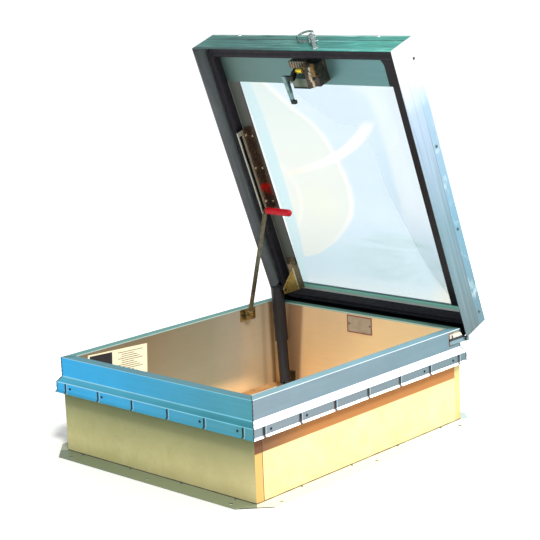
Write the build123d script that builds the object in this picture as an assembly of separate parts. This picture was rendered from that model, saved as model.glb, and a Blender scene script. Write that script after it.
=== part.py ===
from build123d import *
import math
import os

# Roof access hatch: curb with insulation and cap flashing, and a glazed cover
# that swings up about hinges on the rear side. Millimetres, +Z up, X to the
# right along the front (latch) side, +Y towards the hinges. The origin is the
# centre of the flange's bolt holes on the flange underside.

# ---- driving dimensions -------------------------------------------------
CURB_H = 305.0            # flange underside to rim top
CLEAR_X = 375.0           # half of the clear opening, across
CLEAR_Y = 451.0           # half of the clear opening, front to back
LINER_T = 2.5             # curb sheet
BOARD_X = 407.0           # outer face of the insulation boards
BOARD_Y = 483.0
FLASH_T = 2.0             # cap flashing sheet
BAND_X = BOARD_X + FLASH_T
BAND_Y = BOARD_Y + FLASH_T
BAND_BOTTOM = 244.0       # where the upper band turns out to the ledge
LEDGE_OUT = 13.5          # how far the lower band stands outside the upper
LOWER_TOP = 227.0
LOWER_BOTTOM = 200.0
FLARE_OUT = 4.5
FLARE_BOTTOM = 194.5
SLOT_PITCH = 152.4        # tab slots in the lower band
SLOT_W = 4.0
FLANGE_OUT = 61.5         # flange beyond the insulation
FLANGE_CUT = 88.0         # corner cut of the flange
BOLT_R = 5.5
BOLT_IN = 22.0            # bolt line in from the flange edge
BOLT_X = 345.0            # outer bolts, front and rear sides
BOLT_Y = 423.0            # outer bolts, left and right sides

OPEN_DEG = 69.3           # cover angle as stored, held open
HINGE_Y = 515.2           # hinge axis, parallel to X
HINGE_Z = 265.7

# cover, in its closed place
CV_X = 416.5              # outside of the cover's sides
CV_FRONT = -494.0
CV_REAR = 511.0
SKIRT_BOTTOM = 265.0
SKIRT_TOP = 338.0
CV_T = 2.0
INNER_T = 2.5             # inner frame plate over the skirt
GLASS_X = 324.0           # glazed opening, half width
GLASS_FRONT = -341.0
GLASS_REAR = 447.0
RET_TOP = 375.0           # top of the retaining frame
RET_IN = 42.5             # its width on top
GASKET_BOTTOM = 305.6
GASKET_X = (379.0, 405.0)        # inner and outer edge, sides
GASKET_F = (-481.0, -442.0)      # front strip
GASKET_R = (470.0, 497.0)        # rear strip
DOME_X = 366.0
DOME_FRONT = -443.5
DOME_REAR = 460.5
DOME_RISE = 95.0
DOME_T = 4.0

# hold-open arm and its track on the left side
TRACK_X = -358.0
SLOT_Z = 297.0            # slot centre line, cover closed
SLOT_LO = 384.0           # slot ends, distance from the hinge axis
SLOT_HI = 672.0
SLOT_HALF = 7.0
ARM_PIVOT_Y = 309.0
ARM_PIVOT_Z = 290.0
ARM_X0, ARM_X1 = -353.5, -349.5

# lift spring tubes, rear left corner
TUBE_X = -322.0           # upper pin
FOOT_X = -302.0           # foot pin: the tubes lean a little across
FOOT_Y, FOOT_Z = 421.0, 16.0
TOP_U, TOP_V = 122.0, -55.0   # upper pin, from the hinge axis, cover closed
TUBE_R_OUT, TUBE_R_IN = 23.0, 19.0
FORK_UP = 14.0                # the lower tube is cut away round its fork
OUTER_LEN = 184.0             # upper tube below its pin

os.makedirs("parts", exist_ok=True)


def box(x0, x1, y0, y1, z0, z1):
    return Pos((x0 + x1) / 2, (y0 + y1) / 2, (z0 + z1) / 2) * Box(x1 - x0, y1 - y0, z1 - z0)


def cyl(axis, centre, r, length):
    c = Cylinder(r, length)
    rot = {"x": Rot(0, 90, 0), "y": Rot(90, 0, 0), "z": Rot(0, 0, 0)}[axis]
    return Pos(*centre) * rot * c


def prism_xy(pts, z0, z1):
    f = make_face(Polyline(*[(x, y, z0) for x, y in pts], close=True))
    return extrude(f, amount=z1 - z0, dir=(0, 0, 1))


def prism_xz(pts, y0, y1):
    f = make_face(Polyline(*[(x, y0, z) for x, z in pts], close=True))
    return extrude(f, amount=y1 - y0, dir=(0, 1, 0))


def prism_yz(pts, x0, x1):
    f = make_face(Polyline(*[(x0, y, z) for y, z in pts], close=True))
    return extrude(f, amount=x1 - x0, dir=(1, 0, 0))


def opened(p):
    """From the cover's closed place to its stored, open place."""
    return p.rotate(Axis((0, HINGE_Y, HINGE_Z), (1, 0, 0)), -OPEN_DEG)


def save(name, p):
    export_step(p if isinstance(p, (Solid, Compound, Part)) else Part(p.wrapped), "parts/%s.step" % name)


parts = {}

# ---- curb ---------------------------------------------------------------
FX, FY = BOARD_X + FLANGE_OUT, BOARD_Y + FLANGE_OUT
d = ((FX - FLANGE_CUT - CLEAR_X) + (FY + CLEAR_Y - 2 * CLEAR_Y)) / 2
mx, my = CLEAR_X + d, CLEAR_Y + d          # mitre meets the corner cut
front_flange = prism_xy([(-CLEAR_X, -CLEAR_Y), (-mx, -my), (-FX + FLANGE_CUT, -FY),
                         (FX - FLANGE_CUT, -FY), (mx, -my), (CLEAR_X, -CLEAR_Y)], 0, LINER_T)
side_flange = prism_xy([(CLEAR_X, -CLEAR_Y), (mx, -my), (FX, -FY + FLANGE_CUT),
                        (FX, FY - FLANGE_CUT), (mx, my), (CLEAR_X, CLEAR_Y)], 0, LINER_T)
for x in (-BOLT_X, 0, BOLT_X):
    front_flange -= cyl("z", (x, -FY + BOLT_IN, 0), BOLT_R, 20)
for y in (-BOLT_Y, 0, BOLT_Y):
    side_flange -= cyl("z", (FX - BOLT_IN, y, 0), BOLT_R, 20)
WALL_TOP = CURB_H - LINER_T
front_wall = front_flange + box(-CLEAR_X, CLEAR_X, -CLEAR_Y - LINER_T, -CLEAR_Y, 0, WALL_TOP) \
    + box(-CLEAR_X - LINER_T, CLEAR_X + LINER_T, -CLEAR_Y - LINER_T, -CLEAR_Y, LINER_T, WALL_TOP)
side_wall = side_flange + box(CLEAR_X, CLEAR_X + LINER_T, -CLEAR_Y, CLEAR_Y, 0, WALL_TOP)
parts["curb_wall_front"] = front_wall
parts["curb_wall_right"] = side_wall
parts["curb_wall_rear"] = mirror(front_wall, about=Plane.XZ)
parts["curb_wall_left"] = mirror(parts["curb_wall_right"], about=Plane.YZ)

parts["insulation_front"] = box(-BOARD_X, BOARD_X, -BOARD_Y, -CLEAR_Y - LINER_T, LINER_T, WALL_TOP)
parts["insulation_rear"] = box(-BOARD_X, BOARD_X, CLEAR_Y + LINER_T, BOARD_Y, LINER_T, WALL_TOP)
parts["insulation_right"] = box(CLEAR_X + LINER_T, BOARD_X, -CLEAR_Y - LINER_T, CLEAR_Y + LINER_T, LINER_T, WALL_TOP)
parts["insulation_left"] = mirror(parts["insulation_right"], about=Plane.YZ)

# cap flashing: rim, upper band, ledge, lower band and drip flare
t = FLASH_T
flash = [(CLEAR_X, CURB_H), (BAND_X, CURB_H), (BAND_X, BAND_BOTTOM), (BAND_X + LEDGE_OUT, LOWER_TOP),
         (BAND_X + LEDGE_OUT, LOWER_BOTTOM), (BAND_X + LEDGE_OUT + FLARE_OUT, FLARE_BOTTOM),
         (BAND_X + LEDGE_OUT + FLARE_OUT - 1.5, FLARE_BOTTOM - 1.3),
         (BAND_X + LEDGE_OUT - t, LOWER_BOTTOM - 0.9), (BAND_X + LEDGE_OUT - t, LOWER_TOP - 1.1),
         (BAND_X - t, BAND_BOTTOM - 0.6), (BAND_X - t, WALL_TOP), (CLEAR_X, WALL_TOP)]
k = BAND_Y - BAND_X
right_zone = prism_xy([(-k, 0), (700, -700 - k), (700, 700 + k)], 150, 350)
side = prism_xz(flash, -600, 600) & right_zone
front_zone = prism_xy([(0, -k), (-700, -700 - k), (700, -700 - k)], 150, 350)
frontp = prism_yz([(-(x + k), z) for x, z in flash], -600, 600) & front_zone
for i in range(7):
    y = (i - 3) * SLOT_PITCH
    side -= box(BAND_X + LEDGE_OUT - 4, BAND_X + 40, y - SLOT_W / 2, y + SLOT_W / 2, FLARE_BOTTOM - 6, LOWER_TOP - 3)
for i in range(6):
    x = (i - 2.5) * SLOT_PITCH
    frontp -= box(x - SLOT_W / 2, x + SLOT_W / 2, -BAND_Y - 40, -BAND_Y - LEDGE_OUT + 4, FLARE_BOTTOM - 6, LOWER_TOP - 3)
# notch for each hinge leaf at the rear of the side bands
notch = box(BAND_X - t - 0.5, BAND_X + 5, 424, BAND_Y + 5, 256, 298)
parts["flashing_right"] = side - notch
parts["flashing_left"] = mirror(parts["flashing_right"], about=Plane.YZ)
parts["flashing_front"] = frontp
parts["flashing_rear"] = mirror(frontp, about=Plane.XZ) - box(BAND_X - t - 6, BAND_X + 5, BAND_Y - t - 1, BAND_Y + 5, 256, 298) - box(-BAND_X - 5, -BAND_X + t + 6, BAND_Y - t - 1, BAND_Y + 5, 256, 298)

# ---- hinges: leaf and pin on the curb, leaf and eye on the cover ----------
PIN_R = 4.0
EYE_R = 8.0
leaf = prism_yz([(428, 294), (428, 260), (505, 258.2), (HINGE_Y, HINGE_Z - EYE_R), (HINGE_Y, HINGE_Z + EYE_R), (500, 274), (484, 294)], 407.0, 411.0)
leaf += cyl("x", (409.0, HINGE_Y, HINGE_Z), EYE_R, 4.0)
leaf += cyl("x", (414.25, HINGE_Y, HINGE_Z), PIN_R, 8.5) + cyl("x", (419.5, HINGE_Y, HINGE_Z), 6.5, 3.0)
for yy in (440, 470):
    leaf += cyl("x", (411.6, yy, 280), 4.5, 1.4)
parts["hinge_leaf_right"] = leaf
parts["hinge_leaf_left"] = mirror(leaf, about=Plane.YZ)
eye = prism_yz([(440, 330), (440, 300), (500, 272), (HINGE_Y - 2, HINGE_Z - EYE_R + 0.3), (HINGE_Y + EYE_R - 0.3, HINGE_Z - 2),
                (HINGE_Y + EYE_R - 0.3, HINGE_Z + 2), (507, 283), (507, 330)], 411.4, 414.5)
eye += cyl("x", (412.95, HINGE_Y, HINGE_Z), EYE_R, 3.1)
eye -= cyl("x", (412.95, HINGE_Y, HINGE_Z), PIN_R + 0.06, 12)
parts["hinge_eye_right"] = opened(eye)
parts["hinge_eye_left"] = opened(mirror(eye, about=Plane.YZ))

# ---- cover frame: skirt with inner plate, four sides ----------------------
T2 = SKIRT_TOP + INNER_T
c_right = box(CV_X - CV_T, CV_X, CV_FRONT, CV_REAR, SKIRT_BOTTOM, T2) \
    + box(GLASS_X, CV_X - CV_T, GLASS_FRONT, GLASS_REAR, SKIRT_TOP, T2)
c_right -= cyl("x", (CV_X, HINGE_Y, HINGE_Z), 9.0, 12)
c_front = box(-CV_X + CV_T, CV_X - CV_T, CV_FRONT, CV_FRONT + CV_T, SKIRT_BOTTOM, T2) \
    + box(-CV_X + CV_T, CV_X - CV_T, CV_FRONT + CV_T, GLASS_FRONT, SKIRT_TOP, T2)
c_rear = box(-CV_X + CV_T, CV_X - CV_T, CV_REAR - CV_T, CV_REAR, SKIRT_BOTTOM, T2) \
    + box(-CV_X + CV_T, CV_X - CV_T, GLASS_REAR, CV_REAR - CV_T, SKIRT_TOP, T2)
for s in (-1, 1):
    c_rear -= box(s * 409 - 7, s * 409 + 7, CV_REAR - 5, CV_REAR + 5, SKIRT_BOTTOM - 5, HINGE_Z + 20)
parts["cover_side_right"] = opened(c_right)
parts["cover_side_left"] = opened(mirror(c_right, about=Plane.YZ))
parts["cover_side_front"] = opened(c_front)
parts["cover_side_rear"] = opened(c_rear)

# retaining frame over the glazing edge, mitred at the corners
ret = [(CV_X, T2), (CV_X, RET_TOP - 2), (CV_X - 2, RET_TOP), (CV_X - RET_IN, RET_TOP), (CV_X - RET_IN, 346.5),
       (CV_X - RET_IN + 2, 346.5), (CV_X - RET_IN + 2, RET_TOP - 2), (CV_X - 2.4, RET_TOP - 2.0), (CV_X - 2.4, T2)]
yc = (CV_FRONT + CV_REAR) / 2
hy = (CV_REAR - CV_FRONT) / 2
kk = hy - CV_X
rz = prism_xy([(-kk, yc), (600, yc - 600 - kk), (600, yc + 600 + kk)], 330, 390)
fz = prism_xy([(0, yc - kk), (-600, yc - 600 - kk), (600, yc - 600 - kk)], 330, 390)
r_right = prism_xz(ret, CV_FRONT - 20, CV_REAR + 20) & rz
r_front = prism_yz([(yc - (x + kk), z) for x, z in ret], -CV_X - 20, CV_X + 20) & fz
parts["retainer_right"] = opened(r_right)
parts["retainer_left"] = opened(mirror(r_right, about=Plane.YZ))
parts["retainer_front"] = opened(r_front)
parts["retainer_rear"] = opened(mirror(r_front, about=Plane.XZ.offset(-yc)))

# gasket strips, mitred at the corners
(gi, go), (f0, f1), (r0, r1) = GASKET_X, GASKET_F, GASKET_R


def strip(a, b):
    """Section of a strip between a and b, with bevelled lower edges."""
    return [(a, SKIRT_TOP), (a, GASKET_BOTTOM + 6), (a + 7, GASKET_BOTTOM), (b - 7, GASKET_BOTTOM),
            (b, GASKET_BOTTOM + 6), (b, SKIRT_TOP)]


g_right = prism_xz(strip(gi, go), -510, 510) & prism_xy([(gi, f1), (go, f0), (go, r1), (gi, r0)], 290, 345)
g_front = prism_yz(strip(f0, f1), -420, 420) & prism_xy([(-go, f0), (go, f0), (gi, f1), (-gi, f1)], 290, 345)
g_rear = prism_yz(strip(r0, r1), -420, 420) & prism_xy([(-gi, r0), (gi, r0), (go, r1), (-go, r1)], 290, 345)
parts["gasket_right"] = opened(g_right)
parts["gasket_left"] = opened(mirror(g_right, about=Plane.YZ))
parts["gasket_front"] = opened(g_front)
parts["gasket_rear"] = opened(g_rear)

# domed glazing: flat edge and a raised pillow
Z0 = T2 + 4.0
ring = box(-410, 410, CV_FRONT + 6.5, CV_REAR - 6.5, T2, Z0) - box(-DOME_X + DOME_T, DOME_X - DOME_T, DOME_FRONT + DOME_T, DOME_REAR - DOME_T, T2 - 5, Z0 + 5)
ym = (DOME_FRONT + DOME_REAR) / 2
hyd = (DOME_REAR - DOME_FRONT) / 2


def pillow(hx, hyy, rise, z):
    n = 13
    pts = []
    for i in range(n):
        a = -1 + 2 * i / (n - 1)
        row = []
        for j in range(n):
            b = -1 + 2 * j / (n - 1)
            row.append(Vector(a * hx, ym + b * hyy, z + rise * (1 - abs(a) ** 3) * (1 - abs(b) ** 3)))
        pts.append(row)
    return Face.make_surface_from_array_of_points(pts, tol=0.2, min_deg=3, max_deg=3)


top = pillow(DOME_X, hyd, DOME_RISE, Z0)
low = pillow(DOME_X - DOME_T, hyd - DOME_T, DOME_RISE - DOME_T, Z0)


def under(face, hx, hyy):
    """Solid between a pillow surface and a level a little below its edge."""
    blk = extrude(face, amount=-(DOME_RISE + 40), dir=(0, 0, 1))
    return blk


dome = (under(top, DOME_X, hyd) & box(-500, 500, -600, 600, Z0 - 0.5, Z0 + 300)) \
    - (under(low, DOME_X - DOME_T, hyd - DOME_T) & box(-500, 500, -600, 600, Z0 - 20, Z0 + 300))
glazing = ring + dome
parts["dome_glazing"] = opened(glazing)

# ---- latch on the front inner plate ---------------------------------------
lat = box(25, 80, -432, -352, 289, SKIRT_TOP)                      # case
lat -= prism_yz([(-433, 288), (-433, 300), (-421, 288)], 20, 90)   # sloping front edge
lat += box(-45, 25, -379, -344, 298, SKIRT_TOP)                    # lower box
lat -= prism_xy([(30, -343), (90, -343), (90, -358), (62, -358)], 280, SKIRT_TOP)
lat += box(-50, 25, -432, -409, 311, SKIRT_TOP)                    # spring case
for z in (317, 326):
    lat -= box(-52, 6, -433, -429, z, z + 4)
LEV_X, LEV_Y, LEV_Z = 3.0, -411.0, 290.0
lat += cyl("x", (6, LEV_Y, LEV_Z), 4.0, 42.0)                      # stud of the lever
lat += cyl("z", (46, -392, 287.0), 17.0, 6.0) + cyl("z", (46, -392, 284.0), 8.0, 4.0)
parts["latch_housing"] = opened(lat)
bolt = box(62, 78, -438, -395, 280, 289) - prism_yz([(-438.5, 289.5), (-438.5, 285.5), (-428, 279), (-438.5, 279)], 55, 90)
parts["latch_bolt"] = opened(bolt)
# inside lever: hub on a stud of the case, sloping link, tapered blade and curled end
lever = cyl("x", (LEV_X, LEV_Y, LEV_Z), 8.0, 34.0)
lever += prism_yz([(LEV_Y - 5, LEV_Z - 3), (LEV_Y - 3, 275), (-402, 262), (-386, 262), (-386, 272), (LEV_Y + 6, LEV_Z + 2)], -14, -4)
lever += prism_xy([(-49, -402), (-4, -402), (-4, -390), (-29, -386), (-31, -312), (-41, -312)], 262, 272)
lever += box(-41, -22, -318, -306, 262, 272)
lever -= cyl("x", (LEV_X, LEV_Y, LEV_Z), 4.06, 60)
parts["inside_lever"] = opened(lever)
keeper = box(48, 92, -CLEAR_Y, -CLEAR_Y + 3, 255, 301) + box(48, 92, -CLEAR_Y + 3, -CLEAR_Y + 8, 297, 301)
parts["latch_keeper"] = keeper

# outside handle on the front of the skirt, its rose and the staple beside it
OH_X, OH_Z, OH_TURN = 72.0, 322.0, 46.8
oh = cyl("y", (OH_X, CV_FRONT - 11.25, OH_Z), 8.0, 21.5)
oh += cyl("y", (OH_X, CV_FRONT - 18, OH_Z), 11.0, 8.0)
oh += Pos(OH_X, CV_FRONT - 18, OH_Z) * Rot(0, OH_TURN, 0) * Pos(54, 0, 0) * Box(108, 6, 11)
oh += Pos(OH_X, CV_FRONT - 18, OH_Z) * Rot(0, OH_TURN, 0) * Pos(108, 0, 0) * Rot(90, 0, 0) * Cylinder(6.5, 6)
parts["outside_handle"] = opened(oh)
esc = cyl("y", (OH_X, CV_FRONT - 2.5, OH_Z), 15.0, 5.0)
staple = cyl("y", (28, CV_FRONT - 18, 343), 25.0, 5.0) - cyl("y", (28, CV_FRONT - 18, 343), 18.0, 9.0) \
    - box(0, 60, CV_FRONT - 30, CV_FRONT, 300, 343)
for x in (3, 46):
    staple += box(x, x + 7, CV_FRONT - 20.5, CV_FRONT - 15.5, 322, 343) + box(x, x + 7, CV_FRONT - 20.5, CV_FRONT, 322, 327)
esc += staple + box(3, OH_X, CV_FRONT - 2, CV_FRONT, 316, 331)
esc -= cyl("y", (OH_X, CV_FRONT - 3, OH_Z), 8.06, 20)
parts["handle_rose"] = opened(esc)

# ---- hold-open track, arm, grip and wall bracket --------------------------
ty0, ty1 = HINGE_Y - SLOT_HI - 16, HINGE_Y - SLOT_LO + 16
track = box(TRACK_X, TRACK_X + 26, ty0, ty1, SKIRT_TOP - 3, SKIRT_TOP) + box(TRACK_X, TRACK_X + 3, ty0, ty1, 284, SKIRT_TOP)
track -= box(TRACK_X - 5, TRACK_X + 8, HINGE_Y - SLOT_HI, HINGE_Y - SLOT_LO, SLOT_Z - SLOT_HALF, SLOT_Z + SLOT_HALF)
parts["hold_open_track"] = opened(track)

th = math.radians(OPEN_DEG)
c, s = math.cos(th), math.sin(th)


def open_yz(u, v):
    """Point at distance u in front of and v above the hinge axis, cover open."""
    return HINGE_Y - u * c + v * s, HINGE_Z + u * s + v * c


ay, az = open_yz(SLOT_LO, SLOT_Z - HINGE_Z)
L = math.hypot(ay - ARM_PIVOT_Y, az - ARM_PIVOT_Z)
ang = math.degrees(math.atan2(az - ARM_PIVOT_Z, ay - ARM_PIVOT_Y))
ycl = ARM_PIVOT_Y - math.sqrt(L * L - (SLOT_Z - ARM_PIVOT_Z) ** 2)
ang_c = math.degrees(math.atan2(SLOT_Z - ARM_PIVOT_Z, ycl - ARM_PIVOT_Y))
print("arm length %.2f open %.3f closed %.3f ratio %.5f" % (L, ang, ang_c, (ang_c - ang) / OPEN_DEG))
bar = box(ARM_X0, ARM_X1, 0, L, -9, 9) + cyl("x", ((ARM_X0 + ARM_X1) / 2, L, 0), 9, ARM_X1 - ARM_X0) \
    + cyl("x", ((ARM_X0 + ARM_X1) / 2, 0, 0), 9, ARM_X1 - ARM_X0)
bar -= cyl("x", (ARM_X0, 0, 0), 4.06, 20)
bar += cyl("x", (ARM_X1 + 3, L, 0), 7.0, 8.0)


def arm_place(p):
    return Pos(0, ARM_PIVOT_Y, ARM_PIVOT_Z) * Rot(ang, 0, 0) * p


parts["hold_open_arm"] = arm_place(bar)
grip = cyl("x", (ARM_X1 + 7 + 54, L, 0), 12.0, 108)
grip = fillet(grip.edges().group_by(Axis.X)[-1], 8)
parts["arm_grip"] = arm_place(grip)
brk = box(-CLEAR_X, -CLEAR_X + 3, 283, 357, 262, 302) \
    + box(-CLEAR_X + 3, -357.0, ARM_PIVOT_Y - 12, ARM_PIVOT_Y + 12, 268, 271.5) \
    + prism_yz([(ARM_PIVOT_Y - 12, 268), (ARM_PIVOT_Y + 12, 268), (ARM_PIVOT_Y + 8, 296), (ARM_PIVOT_Y - 8, 296)], -359.5, -356.0)
brk += cyl("x", (-352.0, ARM_PIVOT_Y, ARM_PIVOT_Z), 4.0, 12.0) + cyl("x", (-347.5, ARM_PIVOT_Y, ARM_PIVOT_Z), 7.0, 3.0)
parts["arm_bracket"] = brk

# ---- lift spring tubes -----------------------------------------------------
py, pz = open_yz(TOP_U, TOP_V)
l_open = math.hypot(py - FOOT_Y, pz - FOOT_Z)
a_open = math.degrees(math.atan2(py - FOOT_Y, pz - FOOT_Z))
cy, cz = HINGE_Y - TOP_U, HINGE_Z + TOP_V
l_cl = math.hypot(cy - FOOT_Y, cz - FOOT_Z)
a_cl = math.degrees(math.atan2(cy - FOOT_Y, cz - FOOT_Z))
print("tube open %.3f closed %.3f travel %.3f, lean %.4f -> %.4f turn %.4f ratio %.5f slide ratio m/rad %.6f axis y %.6f z %.6f"
      % (l_open, l_cl, l_cl - l_open, a_open, a_cl, -(a_cl - a_open), -(a_cl - a_open) / OPEN_DEG, (l_cl - l_open) / 1000 / th,
         math.sin(math.radians(a_open)), math.cos(math.radians(a_open))))


lean = math.degrees(math.atan2(TUBE_X - FOOT_X, l_open))
l_tube = math.hypot(TUBE_X - FOOT_X, l_open)          # foot pin to upper pin, open
print("tube length %.3f closed %.3f travel %.4f slide ratio m/rad %.6f axis %.6f %.6f %.6f" % (
    l_tube, l_tube * l_cl / l_open, l_tube * (l_cl / l_open - 1), l_tube * (l_cl / l_open - 1) / 1000 / th,
    (TUBE_X - FOOT_X) / l_tube, (py - FOOT_Y) / l_tube, (pz - FOOT_Z) / l_tube))


def tube_place(p):
    return Pos(FOOT_X, FOOT_Y, FOOT_Z) * Rot(-a_open, 0, 0) * Rot(0, lean, 0) * p


lower = Pos(0, 0, 6 + 86) * Cylinder(TUBE_R_IN, 172) - Pos(0, 0, 9 + 90) * Cylinder(TUBE_R_IN - 2.5, 180)
lower += box(-6, 6, -8, 8, 0, 8) + cyl("x", (0, 0, 0), 8, 12)
lower -= box(-12.4, -6, -30, 30, -20, FORK_UP) + box(6, 12.4, -30, 30, -20, FORK_UP)
parts["spring_tube_lower"] = tube_place(lower) - cyl("x", (FOOT_X, FOOT_Y, FOOT_Z), 4.06, 60)
upper = Pos(0, 0, l_tube - OUTER_LEN / 2 + 3) * Cylinder(TUBE_R_OUT, OUTER_LEN + 6) \
    - Pos(0, 0, l_tube - OUTER_LEN / 2 - 6) * Cylinder(TUBE_R_IN + 0.5, OUTER_LEN)
upper += Pos(0, 0, l_tube + 3) * Cylinder(TUBE_R_OUT + 0.5, 7)
upper += cyl("x", (TUBE_R_OUT + 2.0, 0, l_tube), 4.0, 9.0)
parts["spring_tube_upper"] = tube_place(upper)
fp = box(FOOT_X - 24, FOOT_X + 24, CLEAR_Y - 3, CLEAR_Y, 4, 62)
fork = box(FOOT_X - 10.5, FOOT_X - 7.5, FOOT_Y - 8, CLEAR_Y - 3, FOOT_Z - 6, FOOT_Z + 6) \
    + box(FOOT_X + 7.5, FOOT_X + 10.5, FOOT_Y - 8, CLEAR_Y - 3, FOOT_Z - 6, FOOT_Z + 6) \
    + cyl("x", (FOOT_X, FOOT_Y, FOOT_Z), 4.0, 26)
parts["tube_foot_bracket"] = fp + fork
# bracket on the cover that takes the upper tube's pin: foot, web, shelf, cheek
bz = HINGE_Z + TOP_V
by = HINGE_Y - TOP_U
tri = box(-366, -327, 345, 436, SKIRT_TOP - 3, SKIRT_TOP)
tri += box(-330, -327, 345, 436, 297, SKIRT_TOP - 3)
tri += box(-330, -280, 345, 436, 297, 300)
tri += prism_yz([(338, 300), (338, 274), (383, 200), (404, 200), (426, 266), (436, 300)], -283, -280)
tri -= cyl("x", (-281.5, by, bz), 6.0, 12)
parts["tube_cover_bracket"] = opened(tri)

# ---- plain plates on the inner walls ---------------------------------------
parts["wall_label"] = prism_yz([(-406, 296), (-411, 201), (-161, 188), (-155.6, 282.5)], -CLEAR_X, -CLEAR_X + 0.8)
parts["name_plate"] = box(-33, 74, CLEAR_Y - 1.0, CLEAR_Y, 240, 300)

for n, p in parts.items():
    save(n, p)
    bb = p.bounding_box()
    print("%-22s vol %.0f  x %.1f..%.1f y %.1f..%.1f z %.1f..%.1f" % (n, p.volume, bb.min.X, bb.max.X, bb.min.Y, bb.max.Y, bb.min.Z, bb.max.Z))
print(len(parts), "nodes")
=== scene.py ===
import bpy
import bmesh
import math
from mathutils import Matrix, Vector, noise as mnoise


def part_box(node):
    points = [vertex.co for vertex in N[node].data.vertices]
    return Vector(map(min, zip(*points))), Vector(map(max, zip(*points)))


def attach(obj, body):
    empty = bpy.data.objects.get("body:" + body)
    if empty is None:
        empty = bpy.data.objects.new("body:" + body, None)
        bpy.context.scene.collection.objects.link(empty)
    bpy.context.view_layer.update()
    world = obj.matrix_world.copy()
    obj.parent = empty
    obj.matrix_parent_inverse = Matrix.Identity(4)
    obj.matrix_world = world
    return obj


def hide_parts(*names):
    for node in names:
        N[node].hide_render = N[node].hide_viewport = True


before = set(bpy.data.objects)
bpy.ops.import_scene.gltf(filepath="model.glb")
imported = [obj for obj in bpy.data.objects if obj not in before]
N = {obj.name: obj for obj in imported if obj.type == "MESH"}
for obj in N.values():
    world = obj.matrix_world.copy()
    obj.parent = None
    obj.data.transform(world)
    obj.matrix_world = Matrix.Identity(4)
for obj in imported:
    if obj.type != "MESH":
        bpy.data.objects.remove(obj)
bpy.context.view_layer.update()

# ---------------------------------------------------------------- frames
HY, HZ = 0.5152, 0.2657
TH = math.radians(69.3)
H = Vector((0.0, HY, HZ))
M_OPEN = Matrix.Translation(H) @ Matrix.Rotation(-TH, 4, "X") @ Matrix.Translation(-H)
MM = Matrix.Scale(0.001, 4)
ROT_BACK = Matrix.Rotation(TH, 4, "X")
LOC_BACK = H - ROT_BACK @ H


def lin(r, g, b, a=1.0):
    def f(c):
        c = c / 255.0
        return c / 12.92 if c <= 0.04045 else ((c + 0.055) / 1.055) ** 2.4
    return (f(r), f(g), f(b), a)


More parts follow.
